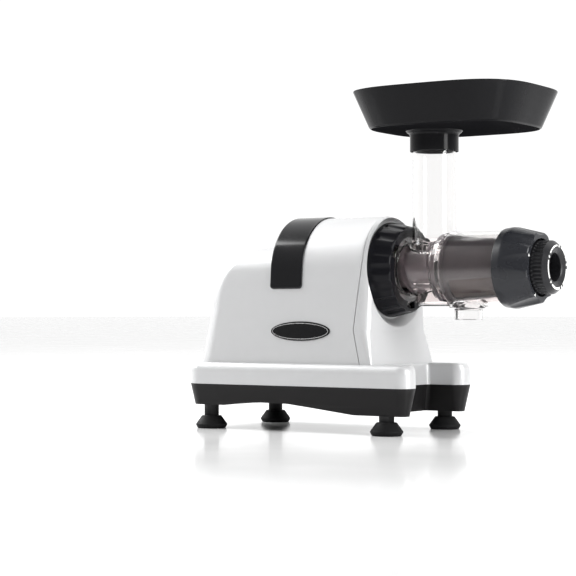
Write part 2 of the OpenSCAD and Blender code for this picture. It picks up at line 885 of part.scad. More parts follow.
module lugs(r, span, x0, x1) {
    for (a = lug_angles) intersection() {
        bar_x(x0, x1, r);
        along_x(x0) linear_extrude(x1 - x0) polygon([[0, 0],
            [2 * r * cos(a - span / 2), 2 * r * sin(a - span / 2)],
            [2 * r * cos(a + span / 2), 2 * r * sin(a + span / 2)]]);
    }
}

module drum() {
    color(smoke) difference() {
        union() {
            drum_outside();
            channel(0, belly_top_z);
            translate([chute_x, 0, barrel_z]) cylinder(h = chute_top_z - barrel_z, r = chute_r);
            translate([chute_x, 0, barrel_z]) cylinder(h = feed_r + 3, r1 = chute_r + 4, r2 = chute_r);
            translate([outlet_x, 0, 131]) cylinder(h = 30, r = outlet_bore_r + 3);
            translate([outlet_x, 0, barrel_z - drum_r - 1]) cylinder(h = 10, r = outlet_bore_r + 6);
            lugs(lug_r, lug_span, lug_x, lug_x + lug_t);
            for (k = [0, 1]) translate([chute_x - 9, -feed_r - 2.5, barrel_z - 24.5 + 6 * k])
                cube([22, 13, 2]);
        }
        drum_inside();
        difference() {
            channel(-drum_wall + 0.2, belly_top_z + 6);
            translate([-300, -50, 0]) cube([belly_x + drum_wall + 302 - 2, 100, 400]);
        }
        translate([chute_x, 0, barrel_z]) cylinder(h = 60, r = chute_r - drum_wall - 1);
        translate([chute_x, 0, throat_z]) cylinder(h = 200, r = chute_r - drum_wall);
        translate([outlet_x, 0, 100]) cylinder(h = 60, r = outlet_bore_r);
        bar_x(drum_back_x - 1, drum_back_x + 8, neck_r + running);
        turned([[drum_back_x + 6, plug_r - 1.9], [drum_back_x + 8, plug_r - 1.9],
            [drum_back_x + 8, plug_r + 1], [drum_back_x + 6, plug_r + 1]]);
    }
}

module drum_seal() {
    color(rubber) turned([[drum_back_x + 6.05, plug_r - 1.88], [drum_back_x + 7.95, plug_r - 1.88],
        [drum_back_x + 7.95, plug_r + 0.02], [drum_back_x + 7.5, plug_r + 0.06],
        [drum_back_x + 6.5, plug_r + 0.06], [drum_back_x + 6.05, plug_r + 0.02]]);
}

module auger_seal() {
    color(rubber) tube_x(drum_back_x + 4.05, drum_back_x + 6.5, neck_r + running, neck_r + 5);
}

module screen_cone(inset, over) {
    along_x(screen_x - over) cylinder(h = screen_end_x - screen_x + 2 * over,
        r1 = screen_back_r - inset, r2 = screen_front_r - inset);
}

module screen_windows() {
    for (a = [225, 315]) along_x(screen_x + 8) rotate([0, 0, a])
        translate([screen_front_r - 8, -14.5, 0]) cube([20, 29, screen_end_x - screen_x - 16]);
}

module screen_frame() {
    color(charcoal) difference() {
        union() {
            screen_cone(0, 0);
            bar_x(screen_x, screen_x + 4, drum_r - drum_wall - 0.15);
        }
        screen_cone(2.2, 0.01);
        screen_windows();
    }
}

module screen_mesh() {
    color([0.5, 0.28, 0.2]) difference() {
        screen_cone(2.25, -0.05);
        screen_cone(2.9, 0.1);
    }
}

auger_front_x = drum_end_x - 4;
auger_r = feed_r - drum_wall - 0.7;
flight_turns = 4;
flight_steps = 26;
core_back_r = 21;
core_front_r = 25;
flange_r = 23;

// One cross-section of the auger's helical flight, as a ring of four points
function flight_ring(k) = let (
        part = k / (flight_turns * flight_steps),
        a = 360 * part * flight_turns,
        x = 18 + drum_back_x + part * (auger_front_x - 26 - drum_back_x),
        core = core_back_r + (core_front_r - core_back_r) * part - 1.5)
    [for (p = [[core, 4], [auger_r, 1.4], [auger_r, -1.4], [core, -4]])
        [x + p[1], p[0] * cos(a), barrel_z + p[0] * sin(a)]];

module auger() {
    color(charcoal) {
        turned([[drum_back_x - 1.5, 0], [drum_back_x - 1.5, neck_r], [drum_back_x + 8, neck_r],
            [drum_back_x + 8, flange_r], [drum_back_x + 10, flange_r],
            [drum_back_x + 14, core_back_r], [auger_front_x - 6, core_front_r],
            [auger_front_x, core_front_r - 5], [auger_front_x, 5], [auger_front_x + 14, 5],
            [auger_front_x + 14, 0]]);
        along_x(tail_back_x) rotate([0, 0, 30])
            cylinder(h = drum_back_x - tail_back_x, r = tail_flat / 2 / cos(30), $fn = 6);
        loft([for (k = [0:flight_turns * flight_steps]) flight_ring(k)]);
    }
}

// --- Lock ring ---

module lock_ring() {
    color(black_gloss) difference() {
        turned([[ring_back_x, socket_r + running], [ring_back_x, ring_back_r - 1.5],
            [ring_back_x + 1.5, ring_back_r], [ring_front_x - 2, ring_front_r + 0.4],
            [ring_front_x, ring_front_r - 1.6],
            [ring_front_x, plug_r + 0.6], [ring_front_x - ring_plate, plug_r + 0.6],
            [ring_front_x - ring_plate, lug_r + 1], [retainer_x - 0.3, lug_r + 1],
            [retainer_x - 0.3, socket_r + running]]);
        lugs(lug_r + 0.6, slot_span, ring_front_x - ring_plate - 1, ring_front_x + 1);
        for (i = [0:15]) along_x(ring_back_x + 3) rotate([0, 0, 22.5 * i])
            translate([ring_back_r + 9, 0, 0]) rotate([0, -13, 0]) cylinder(h = 40, r = 11.5);
    }
}

// --- End cap and knob ---

cap_bore_r = drum_r + loose + 0.1;
boss_r = 25;
hub_r = 5;
cap_plate_x = knob_back_x - 4;
scoop_r = 24;
scoop_reach = 36.7;
scoop_tilt = 17.4;

module cap_arms() {
    for (a = [30, 150, 270]) along_x(auger_front_x + 4) rotate([0, 0, a])
        translate([hub_r + 1.5, -2, 0.5]) cube([boss_r - hub_r - 3, 4, 5]);
}

module end_cap() {
    color(charcoal) difference() {
        union() {
            turned([[cap_back_x, cap_bore_r], [cap_back_x, cap_bore_r + 1.3], [cap_back_x + 9, 46],
                [cap_back_x + 11, 46], [cap_front_x - 1.5, 40], [cap_front_x, 38.5],
                [cap_front_x, knob_r + 2.5], [cap_plate_x + 4, knob_r + 2.5], [cap_plate_x + 4, boss_r],
                [cap_front_x + 9, boss_r], [cap_front_x + 9, boss_r - 3], [auger_front_x + 4, boss_r - 3],
                [auger_front_x + 4, boss_r], [drum_end_x + 2.8, boss_r], [drum_end_x + 2.8, cap_bore_r]]);
            tube_x(auger_front_x + 4, auger_front_x + 12, hub_r + running, hub_r + 3);
            cap_arms();
        }
        for (i = [0:8]) along_x(cap_front_x) rotate([0, 0, 40 * i + 12])
            translate([scoop_reach + scoop_r, 0, 0]) rotate([0, -scoop_tilt, 0])
                translate([0, 0, -32]) cylinder(h = 40, r = scoop_r);
    }
}

module cap_seal() {
    color(rubber) tube_x(drum_end_x + 0.3, drum_end_x + 2.7, drum_r - 6, drum_r - 0.1);
}

module adjusting_knob() {
    color(charcoal) difference() {
        turned([[knob_back_x + loose, boss_r + running], [knob_back_x + loose, knob_r - 1],
            [knob_back_x + 2, knob_r], [knob_front_x - 6, knob_r], [knob_front_x, knob_r - 5],
            [knob_front_x, pulp_bore_r], [cap_front_x - 6, pulp_bore_r],
            [cap_front_x - 6, pulp_bore_r + 3], [knob_front_x - 7, pulp_bore_r + 3],
            [knob_front_x - 7, boss_r + running]]);
        for (i = [0:39]) along_x(cap_front_x + 1) rotate([0, 0, 9 * i])
            translate([knob_r + 0.55, 0, 0]) cylinder(h = 11, r = 1.1, $fn = 12);
    }
}

// --- Hopper tray ---

rim_power = 3.4;

function tray_ring(a, b, z) = [for (i = [0:71]) let (t = 5 * i, r = super_r(a, b, rim_power, t))
    [tray_x + r * cos(t), r * sin(t), z]];

module hopper_tray() {
    floor_z = tray_z + tray_wall;
    color(black_gloss) difference() {
        union() {
            difference() {
                loft([tray_ring(floor_a - 5, floor_b - 5, tray_z),
                    tray_ring(floor_a - 1.4, floor_b - 1.4, tray_z + 1.2),
                    tray_ring(floor_a + 1.4, floor_b + 1.4, tray_z + 4.5),
                    tray_ring(rim_a - 0.4, rim_b - 0.4, rim_z - 1.5),
                    tray_ring(rim_a, rim_b, rim_z - 0.8),
                    tray_ring(rim_a - 1, rim_b - 1, rim_z)]);
                loft([tray_ring(floor_a - 8, floor_b - 8, floor_z),
                    tray_ring(floor_a - 2, floor_b - 2, floor_z + 5),
                    tray_ring(rim_a - tray_wall, rim_b - tray_wall, rim_z + 0.1)]);
            }
            translate([chute_x, 0, collar_low_z]) cylinder(h = tray_z + 1 - collar_low_z, r = collar_r);
            translate([chute_x, 0, tray_z - 4]) cylinder(h = 4.5, r1 = collar_r, r2 = collar_r + 3);
        }
        translate([chute_x, 0, collar_low_z - 1]) cylinder(h = tray_z + 1 - collar_low_z, r = chute_r + 0.25);
        translate([chute_x, 0, tray_z - 5]) cylinder(h = 20, r = chute_r - drum_wall);
    }
}

motor_housing();
end_bezel();
base_cover();
base_pan();
carry_handle();
badge();
foot_1();
foot_2();
foot_3();
foot_4();
foot_screw_1();
foot_screw_2();
foot_screw_3();
foot_screw_4();
housing_screw_1();
housing_screw_2();
housing_screw_3();
housing_screw_4();
gearbox_case();
gearbox_cover();
gearbox_screws();
ring_retainer();
output_bearing();
middle_bushing();
motor_bearings();
motor_end_frames();
stator_core();
stator_coils();
motor_bolts();
rotor_core();
motor_shaft();
motor_pinion();
cooling_fan();
middle_shaft();
middle_gear();
middle_pinion();
output_shaft();
output_gear();
capacitor();
capacitor_clip();
switch_frame();
switch_rocker();
cord_gland();
lock_ring();
drum();
drum_seal();
auger_seal();
screen_frame();
screen_mesh();
auger();
end_cap();
cap_seal();
adjusting_knob();
hopper_tray();
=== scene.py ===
"""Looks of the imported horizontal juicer: the pieces that show are rebuilt in mesh code on their CAD bodies.

Helpers take millimetres in the row frame; a mesh is stored in metres.
"""
import json
import math

import bmesh
import bpy
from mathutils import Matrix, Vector


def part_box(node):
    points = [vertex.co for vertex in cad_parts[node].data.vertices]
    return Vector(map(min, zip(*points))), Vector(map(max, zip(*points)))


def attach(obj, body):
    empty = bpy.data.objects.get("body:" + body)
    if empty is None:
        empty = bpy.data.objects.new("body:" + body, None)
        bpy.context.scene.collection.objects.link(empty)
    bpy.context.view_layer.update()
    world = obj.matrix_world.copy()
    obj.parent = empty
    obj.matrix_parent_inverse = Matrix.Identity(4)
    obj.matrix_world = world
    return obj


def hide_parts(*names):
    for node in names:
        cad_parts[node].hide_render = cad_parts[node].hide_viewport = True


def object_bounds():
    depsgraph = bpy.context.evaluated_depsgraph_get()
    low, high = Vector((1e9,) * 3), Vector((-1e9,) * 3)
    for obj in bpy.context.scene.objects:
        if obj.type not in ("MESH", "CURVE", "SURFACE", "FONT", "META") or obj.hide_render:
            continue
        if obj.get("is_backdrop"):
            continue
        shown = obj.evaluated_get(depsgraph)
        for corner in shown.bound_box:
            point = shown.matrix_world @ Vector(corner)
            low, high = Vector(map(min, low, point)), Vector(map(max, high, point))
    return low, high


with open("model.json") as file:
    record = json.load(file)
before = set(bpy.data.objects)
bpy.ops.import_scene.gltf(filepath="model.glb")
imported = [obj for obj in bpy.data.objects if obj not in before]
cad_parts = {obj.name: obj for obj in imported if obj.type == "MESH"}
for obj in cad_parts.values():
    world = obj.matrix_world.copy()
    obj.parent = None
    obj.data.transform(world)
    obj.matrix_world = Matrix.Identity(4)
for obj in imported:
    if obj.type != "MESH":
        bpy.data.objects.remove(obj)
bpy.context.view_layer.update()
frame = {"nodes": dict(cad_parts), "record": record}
nodes = frame["nodes"]
scene = bpy.context.scene

# --- Camera ---

lens = bpy.data.cameras.new("camera")
lens.lens = 106.4
lens.sensor_width = 36
camera = bpy.data.objects.new("camera", lens)
scene.collection.objects.link(camera)
camera.location = (1.0223, -1.7354, 0.1388)
camera.rotation_euler = (math.radians(90.84), 0, math.radians(33.61))
scene.camera = camera

# --- Sizes, in millimetres ---

BARREL_Z = 189.5
CHUTE_X = 72.5
RING_BACK, RING_FRONT = 13.5, 41.5
DRUM_BACK, DRUM_END = 8.0, 175.5
CAP_BACK, CAP_FRONT = 167.5, 208.5
OUTLET_X = 117.0

HALF_W = 74.0
PLINTH_TOP = 79.5
CROWN_Z, CROWN_R = 186.5, 66.0
REAR_TOP = 219.0
STEP_X = -112.0
LEAN = math.radians(4.18)
WALL = 3.0
PAN_TOP = 53.6
BASE_W = 82.5
BASE_LEFT, BASE_RIGHT = -227.5, 82.0
FOOT_TOP = 22.0

TRAY_X, TRAY_Z, RIM_Z = 100.2, 349.7, 393.0

SPIGOT_R, FEED_R, DRUM_R = 38.0, 31.0, 43.0
FEED_BORE, DRUM_BORE = 28.5, 40.5
CHUTE_R, CHUTE_BORE = 25.4, 22.9
SPOUT_BORE = 13.2
KNOB_BORE_R, KNOB_BACK = 25.0, 198.5
THROUGH = (-120, 120)  # sideways extent of a cutter that goes right through
VENT_W, VENT_PITCH, VENT_END = 4, 9, 1.9
AXIS_R = 0.01  # where a profile closes on its axis, it stops just short of it


# --- Mesh helpers ---

BEVEL_SLACK = 12  # degrees added to the sharp angle once a bevel has softened the edges


def make(points, faces):
    """Working object from points in millimetres, closed and facing outwards."""
    mesh = bpy.data.meshes.new("work")
    mesh.from_pydata([(x * 0.001, y * 0.001, z * 0.001) for x, y, z in points], [], faces)
    shape = bmesh.new()
    shape.from_mesh(mesh)
    bmesh.ops.remove_doubles(shape, verts=shape.verts, dist=1e-6)
    bmesh.ops.dissolve_degenerate(shape, edges=shape.edges, dist=1e-7)
    bmesh.ops.recalc_face_normals(shape, faces=shape.faces)
    shape.to_mesh(mesh)
    shape.free()
    piece = bpy.data.objects.new("work", mesh)
    scene.collection.objects.link(piece)
    return piece


def loft(rings, wrap=False):
    """Solid through rings of points with equal counts; wrap joins the last ring to the first."""
    count = len(rings[0])
    points = [p for ring in rings for p in ring]
    spans = len(rings) if wrap else len(rings) - 1
    faces = []
    for k in range(spans):
        low, high = k * count, (k + 1) % len(rings) * count
        for i in range(count):
            j = (i + 1) % count
            faces.append((low + i, low + j, high + j, high + i))
    if not wrap:
        faces.append(tuple(reversed(range(count))))
        faces.append(tuple((len(rings) - 1) * count + i for i in range(count)))
    return make(points, faces)


def spin(profile, axis="X", centre=(0, BARREL_Z), count=120, bend=None, wrap=True):
    """Solid of revolution from (along, radius) points; bend(along, radius, angle) may change a radius."""
    rings = []
    for u, r in profile:
        ring = []
        for i in range(count):
            a = math.tau * i / count
            q = bend(u, r, a) if bend else r
            c, s = centre[0] + q * math.cos(a), centre[1] + q * math.sin(a)
            ring.append((u, c, s) if axis == "X" else (c, s, u))
        rings.append(ring)
    return loft(rings, wrap)


def upright(profile, x=CHUTE_X, count=96):
    """Solid of revolution about a vertical line over the barrel, from (height, radius) points."""
    return spin(profile, "Z", (x, 0), count, wrap=False)


def prism(outline, low, high, axis="Y"):
    """Outline extruded along an axis: (x, z) points along Y, (x, y) along Z, (y, z) along X."""
    place = {
        "X": lambda a, b, t: (t, a, b),
        "Y": lambda a, b, t: (a, t, b),
        "Z": lambda a, b, t: (a, b, t),
    }[axis]
    return loft([[place(a, b, t) for a, b in outline] for t in (low, high)])


def block(low, high, radius=0.0):
    """Box from corner to corner, its edges along Z rounded."""
    (x0, y0, z0), (x1, y1, z1) = low, high
    corners = [(x0, y0, radius), (x1, y0, radius), (x1, y1, radius), (x0, y1, radius)]
    return prism(fillet(corners), z0, z1, "Z")


def fillet(corners, closed=True, steps=5):
    """Outline through (u, v, radius) corners, each rounded to its radius."""
    outline, count = [], len(corners)
    for i, (u, v, radius) in enumerate(corners):
        at = Vector((u, v))
        if radius <= 0 or (not closed and i in (0, count - 1)):
            outline.append((u, v))
            continue
        back = Vector(corners[i - 1][:2]) - at
        on = Vector(corners[(i + 1) % count][:2]) - at
        half = back.angle(on) / 2
        trim = min(radius / math.tan(half), 0.49 * back.length, 0.49 * on.length)
        centre = at + (back.normalized() + on.normalized()).normalized() * trim / math.cos(half)
        start = at + back.normalized() * trim - centre
        end = at + on.normalized() * trim - centre
        for k in range(steps + 1):
            p = centre + start.lerp(end, k / steps).normalized() * start.length
            outline.append((p.x, p.y))
    return outline


def arc(cx, cy, r, start, stop, steps):
    """Points along an arc, in degrees."""
    turns = [math.radians(start + (stop - start) * i / steps) for i in range(steps + 1)]
    return [(cx + r * math.cos(a), cy + r * math.sin(a)) for a in turns]


def beside(turn, offsets):
    """(y, z) points at (outward, sideways) offsets from the barrel's axis, at a turn in degrees."""
    a = math.radians(turn)
    out, side = Vector((math.cos(a), math.sin(a))), Vector((-math.sin(a), math.cos(a)))
    return [tuple(Vector((0, BARREL_Z)) + out * r + side * w) for r, w in offsets]


def apply_step(piece, step):
    """Turns a modifier's result into the piece's own mesh."""
    graph = bpy.context.evaluated_depsgraph_get()
    mesh = bpy.data.meshes.new_from_object(piece.evaluated_get(graph))
    piece.modifiers.remove(step)
    piece.data = mesh


def combine(piece, tool, how="DIFFERENCE"):
    """Boolean of two working objects; the tool goes."""
    step = piece.modifiers.new("combine", "BOOLEAN")
    step.operation, step.object, step.solver = how, tool, "EXACT"
    apply_step(piece, step)
    bpy.data.objects.remove(tool)
    return piece


def copy(piece):
    """Second working object of the same shape."""
    twin = piece.copy()
    twin.data = piece.data.copy()
    scene.collection.objects.link(twin)
    return twin


def join(*pieces):
    """Several separate solids as one object."""
    shape = bmesh.new()
    for piece in pieces:
        shape.from_mesh(piece.data)
    mesh = bpy.data.meshes.new("work")
    shape.to_mesh(mesh)
    shape.free()
    for piece in pieces[1:]:
        bpy.data.objects.remove(piece)
    pieces[0].data = mesh
    return pieces[0]


def settle(piece, name, body, look, replaced=(), edge=0.0, sharp=35):
    """Gives a finished piece its rounded edges, shading, name, material and CAD body.

    sharp is the angle in degrees from which an edge stays sharp; a bevelled piece keeps only sharper ones.
    """
    if edge:
        step = piece.modifiers.new("edge", "BEVEL")
        step.width, step.segments = edge * 0.001, 2
        step.limit_method, step.angle_limit = "ANGLE", math.radians(sharp)
        step.use_clamp_overlap = True
        apply_step(piece, step)
    piece.data.shade_smooth()
    piece.data.set_sharp_from_angle(angle=math.radians(sharp + BEVEL_SLACK if edge else sharp))
    step = piece.modifiers.new("normals", "WEIGHTED_NORMAL")
    step.keep_sharp = True
    apply_step(piece, step)
    piece.name = piece.data.name = name
    piece.data.materials.clear()
    piece.data.materials.append(look)
    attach(piece, body)
    if replaced:
        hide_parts(*replaced)
    return piece


# --- Materials ---

MIX_A, MIX_B, MIX_OUT = 6, 7, 2  # the colour sockets of a Mix node
BROAD = 14  # how much coarser the mottle is than the fine grain
PAINTED_SHADE_HEIGHTS = (0.146, 0.153, 0.212, 0.228)  # metres: the painted shade starts, is full, starts to fade, is gone
DULL_Z, GLOSSY_Z = -0.95, -0.75  # upward part of a normal, between fully dull and fully glossy


def finish(name, colour, rough, metal=0.0, grain=300.0, relief=0.05, mottle=0.05, wear=0.3,
           coat=0.0, clear=0.0, ior=1.5, spread=0.25, brushed=None, crests=(0.52, 0.62), shine=0.5,
           dull_below=False, painted_shade=None):
    """Procedural finish: mottled colour, uneven roughness, fine relief and lighter worn edges.

    dull_below takes the gloss off faces that look straight down. The painted shade is a darker, warmer colour
    multiplied in over a band of heights, standing in for the dim light inside the clear drum.
    """
    look = bpy.data.materials.new(name)
    look.use_nodes = True
    tree = look.node_tree
    shader = tree.nodes["Principled BSDF"]
    shader.inputs["Metallic"].default_value = metal
    shader.inputs["IOR"].default_value = ior
    shader.inputs["Coat Weight"].default_value = coat
    shader.inputs["Coat Roughness"].default_value = 0.06
    shader.inputs["Transmission Weight"].default_value = clear

    def add(kind, **values):
        node = tree.nodes.new(kind)
        for key, value in values.items():
            if key in node.inputs:
                node.inputs[key].default_value = value
            else:
                setattr(node, key, value)
        return node

    spot = add("ShaderNodeTexCoord").outputs["Object"]
    if brushed:
        stretch = add("ShaderNodeMapping")
        stretch.inputs["Scale"].default_value = brushed
        tree.links.new(spot, stretch.inputs["Vector"])
        spot = stretch.outputs["Vector"]
    fine = add("ShaderNodeTexNoise", Scale=grain, Detail=5.0, Roughness=0.6)
    broad = add("ShaderNodeTexNoise", Scale=grain / BROAD, Detail=3.0)
    for texture in (fine, broad):
        tree.links.new(spot, texture.inputs["Vector"])

    shade = add("ShaderNodeMix", data_type="RGBA")
    tree.links.new(broad.outputs["Fac"], shade.inputs["Factor"])
    for socket, sign in ((MIX_A, -1), (MIX_B, 1)):
        shade.inputs[socket].default_value = (*[min(1, c * (1 + sign * mottle)) for c in colour], 1)

    crest = add("ShaderNodeMapRange")
    crest.inputs["From Min"].default_value = crests[0]
    crest.inputs["From Max"].default_value = crests[1]
    crest.inputs["To Max"].default_value = wear
    tree.links.new(add("ShaderNodeNewGeometry").outputs["Pointiness"], crest.inputs["Value"])
    worn = add("ShaderNodeMix", data_type="RGBA")
    worn.inputs[MIX_B].default_value = (*[c + (0.8 - c) * 0.4 for c in colour], 1)
    tree.links.new(crest.outputs["Result"], worn.inputs["Factor"])
    tree.links.new(shade.outputs[MIX_OUT], worn.inputs[MIX_A])
    tree.links.new(worn.outputs[MIX_OUT], shader.inputs["Base Color"])
    # Painted shade: a darker, warmer tint multiplied in over a band of heights, for the dim inside of the
    # clear drum.
    if painted_shade:
        height = add("ShaderNodeSeparateXYZ")
        tree.links.new(spot, height.inputs["Vector"])
        bands = add("ShaderNodeValToRGB")
        tree.links.new(height.outputs["Z"], bands.inputs["Fac"])
        stops = bands.color_ramp.elements
        stops[0].position, stops[1].position = PAINTED_SHADE_HEIGHTS[:2]
        for height_m in PAINTED_SHADE_HEIGHTS[2:]:
            stops.new(height_m)
        for stop, fill in zip(stops, ((1, 1, 1), painted_shade, painted_shade, (1, 1, 1))):
            stop.color = (*fill, 1)
        tinted = add("ShaderNodeMix", data_type="RGBA", blend_type="MULTIPLY")
        tinted.inputs[0].default_value = 1.0
        tree.links.new(worn.outputs[MIX_OUT], tinted.inputs[MIX_A])
        tree.links.new(bands.outputs["Color"], tinted.inputs[MIX_B])
        tree.links.new(tinted.outputs[MIX_OUT], shader.inputs["Base Color"])

    uneven = add("ShaderNodeMapRange")
    uneven.inputs["From Min"].default_value = 0.3
    uneven.inputs["From Max"].default_value = 0.7
    uneven.inputs["To Min"].default_value = rough * (1 - spread)
    uneven.inputs["To Max"].default_value = rough * (1 + spread)
    tree.links.new(broad.outputs["Fac"], uneven.inputs["Value"])
    if dull_below:
        facing = add("ShaderNodeSeparateXYZ")
        tree.links.new(add("ShaderNodeNewGeometry").outputs["True Normal"], facing.inputs["Vector"])
        for socket, full in (("Coat Weight", coat), ("Specular IOR Level", shine)):
            turned = add("ShaderNodeMapRange")
            turned.inputs["From Min"].default_value = DULL_Z
            turned.inputs["From Max"].default_value = GLOSSY_Z
            turned.inputs["To Min"].default_value = 0.0
            turned.inputs["To Max"].default_value = full
            tree.links.new(facing.outputs["Z"], turned.inputs["Value"])
            tree.links.new(turned.outputs["Result"], shader.inputs[socket])
    else:
        shader.inputs["Specular IOR Level"].default_value = shine
    tree.links.new(uneven.outputs["Result"], shader.inputs["Roughness"])

    bump = add("ShaderNodeBump")
    bump.inputs["Strength"].default_value = relief
    bump.inputs["Distance"].default_value = 0.0002
    tree.links.new(fine.outputs["Fac"], bump.inputs["Height"])
    tree.links.new(bump.outputs["Normal"], shader.inputs["Normal"])
    return look


SILVER = finish("silver_paint", (0.6, 0.603, 0.608), 0.4, metal=0.25, grain=1400, relief=0.03,
                mottle=0.015, wear=0.05, coat=0.25, spread=0.04, crests=(0.6, 0.75))
SATIN = finish("satin_black", (0.012, 0.0115, 0.012), 0.38, grain=900, relief=0.12, wear=0.08, shine=0.14)
GLOSS = finish("gloss_black", (0.006, 0.006, 0.007), 0.12, grain=260, relief=0.02, wear=0.06, shine=0.35)
TRAY = finish("tray_black", (0.009, 0.009, 0.01), 0.12, grain=260, relief=0.02, wear=0.06, shine=0.08,
              dull_below=True)
RING = finish("ring_black", (0.007, 0.007, 0.009), 0.2, grain=500, relief=0.05, wear=0.1, shine=0.12)
CHARCOAL = finish("charcoal_plastic", (0.02, 0.021, 0.025), 0.3, grain=700, relief=0.08, wear=0.12,
                  shine=0.3)
KNOB = finish("knob_plastic", (0.016, 0.016, 0.018), 0.32, grain=700, relief=0.1, wear=0.15, shine=0.25)
RUBBER = finish("black_rubber", (0.009, 0.009, 0.0095), 0.62, grain=600, relief=0.25, wear=0.1, shine=0.1)
# The clear drum gets painted shade: a darker, warmer tint over a band of heights, for its dim inside.
CLEAR = finish("clear_plastic", (0.975, 0.971, 0.968), 0.03, grain=120, relief=0.015, mottle=0.01,
               wear=0.0, clear=1.0, ior=1.42, painted_shade=(0.92, 0.87, 0.865))
AUGER = finish("auger_resin", (0.3, 0.27, 0.29), 0.4, grain=500, relief=0.1, wear=0.1, shine=0.3)
BASKET = finish("screen_plastic", (0.12, 0.113, 0.12), 0.4, grain=500, relief=0.1, wear=0.1, shine=0.3)
AMBER = finish("screen_amber", (0.035, 0.014, 0.009), 0.35, grain=900, relief=0.6, mottle=0.25, wear=0.1)
WHITE = finish("white_print", (0.82, 0.82, 0.8), 0.5, grain=800, relief=0.05, wear=0.0)
RIM = finish("badge_rim", (0.7, 0.7, 0.7), 0.25, metal=0.9, grain=1500, relief=0.05, wear=0.1)
STEEL = finish("steel", (0.5, 0.5, 0.5), 0.32, metal=1.0, grain=700, relief=0.1, brushed=(0.1, 1, 1))
CAST = finish("cast_aluminium", (0.42, 0.42, 0.43), 0.55, metal=0.9, grain=500, relief=0.5, mottle=0.12)
BRONZE = finish("bronze", (0.45, 0.28, 0.1), 0.35, metal=1.0, grain=600, relief=0.15)
LAMINATE = finish("laminations", (0.2, 0.2, 0.21), 0.5, metal=0.9, grain=900, relief=0.6,
                  brushed=(14, 0.2, 0.2))
COPPER = finish("winding", (0.5, 0.17, 0.05), 0.35, metal=0.8, grain=700, relief=0.8, brushed=(0.2, 4, 4))
NYLON = finish("nylon", (0.72, 0.7, 0.64), 0.45, grain=400, relief=0.1)
ZINC = finish("zinc", (0.55, 0.56, 0.58), 0.3, metal=1.0, grain=300, relief=0.1, mottle=0.12)
GREY = finish("switch_grey", (0.3, 0.3, 0.31), 0.35, grain=800, relief=0.1)

SLOTS = {
    "silver_housing": SILVER, "black_pan": SATIN, "black_gloss": GLOSS, "rubber": RUBBER,
    "screw_steel": STEEL, "cast_aluminium": CAST, "bearing_steel": STEEL, "bronze": BRONZE,
    "lamination_steel": LAMINATE, "copper_winding": COPPER, "white_nylon": NYLON,
    "capacitor_can": ZINC, "zinc_clip": ZINC, "switch_black": SATIN, "switch_grey": GREY,
    "clear_drum": CLEAR, "screen_grey": BASKET, "screen_amber": AMBER, "auger_resin": AUGER,
    "cap_charcoal": CHARCOAL, "knob_charcoal": KNOB,
}
for part in frame["record"]["subparts"]:
    looks = nodes[part["node"]].data.materials
    looks.clear()
    looks.append(SLOTS[part["material_slot"]])


# --- Housing and bezel ---


def side_w(z):
    """Half width of the drafted sides at a height."""
    return HALF_W - (z - PLINTH_TOP) * math.tan(LEAN)


def rear_block(inset):
    """Motor end: level rings whose left end leans and rolls over into the flat top."""
    knee, run, power, shoulder = 145.0, 79.0, 2.2, 36.0
    left, lean, join_x, spring_z = -217.5, 10.5, -62.0, 183.0
    top = REAR_TOP - inset
    flat_w = side_w(185.5) - shoulder
    levels = [PLINTH_TOP - (2 if inset else 0)]
    levels += [PLINTH_TOP + (knee - PLINTH_TOP) * i / 5 for i in range(1, 6)]
    levels += [knee + (top - knee) * math.sin(math.radians(4 * i)) for i in range(1, 22)]
    levels.append(top)
    rings = []
    for z in levels:
        rise = max(0.0, (z - knee) / (top - knee))
        end = left + inset + lean * min(1, (z - PLINTH_TOP) / (knee - PLINTH_TOP))
        end += (run - inset) * (1 - max(0.0, 1 - rise**power) ** (1 / power))
        w = side_w(z) - inset
        if z > spring_z:
            w = min(w, flat_w + math.sqrt(max(0.0, (shoulder - inset) ** 2 - (z - spring_z) ** 2)))
        c = min(24 - inset, w)
        ring = [(join_x, w)] + arc(end + c, w - c, c, 90, 180, 10)
        ring += arc(end + c, c - w, c, 180, 270, 10) + [(join_x, -w)]
        rings.append([(x, y, z) for x, y in ring])
    return loft(rings)


def hump_section(inset, low):
    """Section across the hump: drafted sides under a round crown."""
    tilt = math.degrees(LEAN)
    crown = arc(0, CROWN_Z, CROWN_R - inset, tilt, 180 - tilt, 64)
    return [(HALF_W - inset, low)] + crown + [(inset - HALF_W, low)]


def hump_block(inset):
    """Hump from its step to the rolled edge round the front face."""
    low = PLINTH_TOP - (2 if inset else 0)
    edge, nose_x, nose, roll = 1.2, 10, 14, 12
    stops = [(STEP_X + inset + edge * (1 - math.cos(t)), edge * (1 - math.sin(t)))
             for t in (0, 0.5, 1.0, 1.5708)]
    stops += [(x, 0) for x in (-90, -60, -30, 0)]
    stops += [(nose_x + (nose - inset) * math.sin(t), roll * (1 - math.cos(t)))
              for t in [math.radians(9 * i) for i in range(11)]]
    return loft([[(x, y, z) for y, z in hump_section(inset + extra, low)] for x, extra in stops])


def toe_block(inset):
    """Foot of the bezel, which flares forward below the kink."""
    rings = []
    for z, x, r in ((PLINTH_TOP - (2 if inset else 0), 31, 4), (90, 29.1, 6), (100, 27.4, 8),
                    (110, 25.6, 10), (119, 24, 12)):
        w, face = side_w(max(z, PLINTH_TOP)) - inset, x - inset
        plan = [(0, -w)] + arc(face - r, r - w, r, 270, 360, 8)
        plan += arc(face - r, w - r, r, 0, 90, 8) + [(0, w)]
        rings.append([(a, b, z) for a, b in plan])
    return loft(rings)


def dish_cut(grow):
    """Round recess for the lock ring, with a soft lip."""
    floor, lip, mouth = RING_BACK - 0.9 - grow, 24.02 - grow * 0.6, 69.8 + grow
    profile = fillet([(floor, AXIS_R, 0), (floor, 57.6 + grow, 3), (lip, 67.2 + grow, 2.5),
                      (lip, mouth, 0), (60, mouth, 0), (60, AXIS_R, 0)], False)
    return spin(profile, wrap=False)


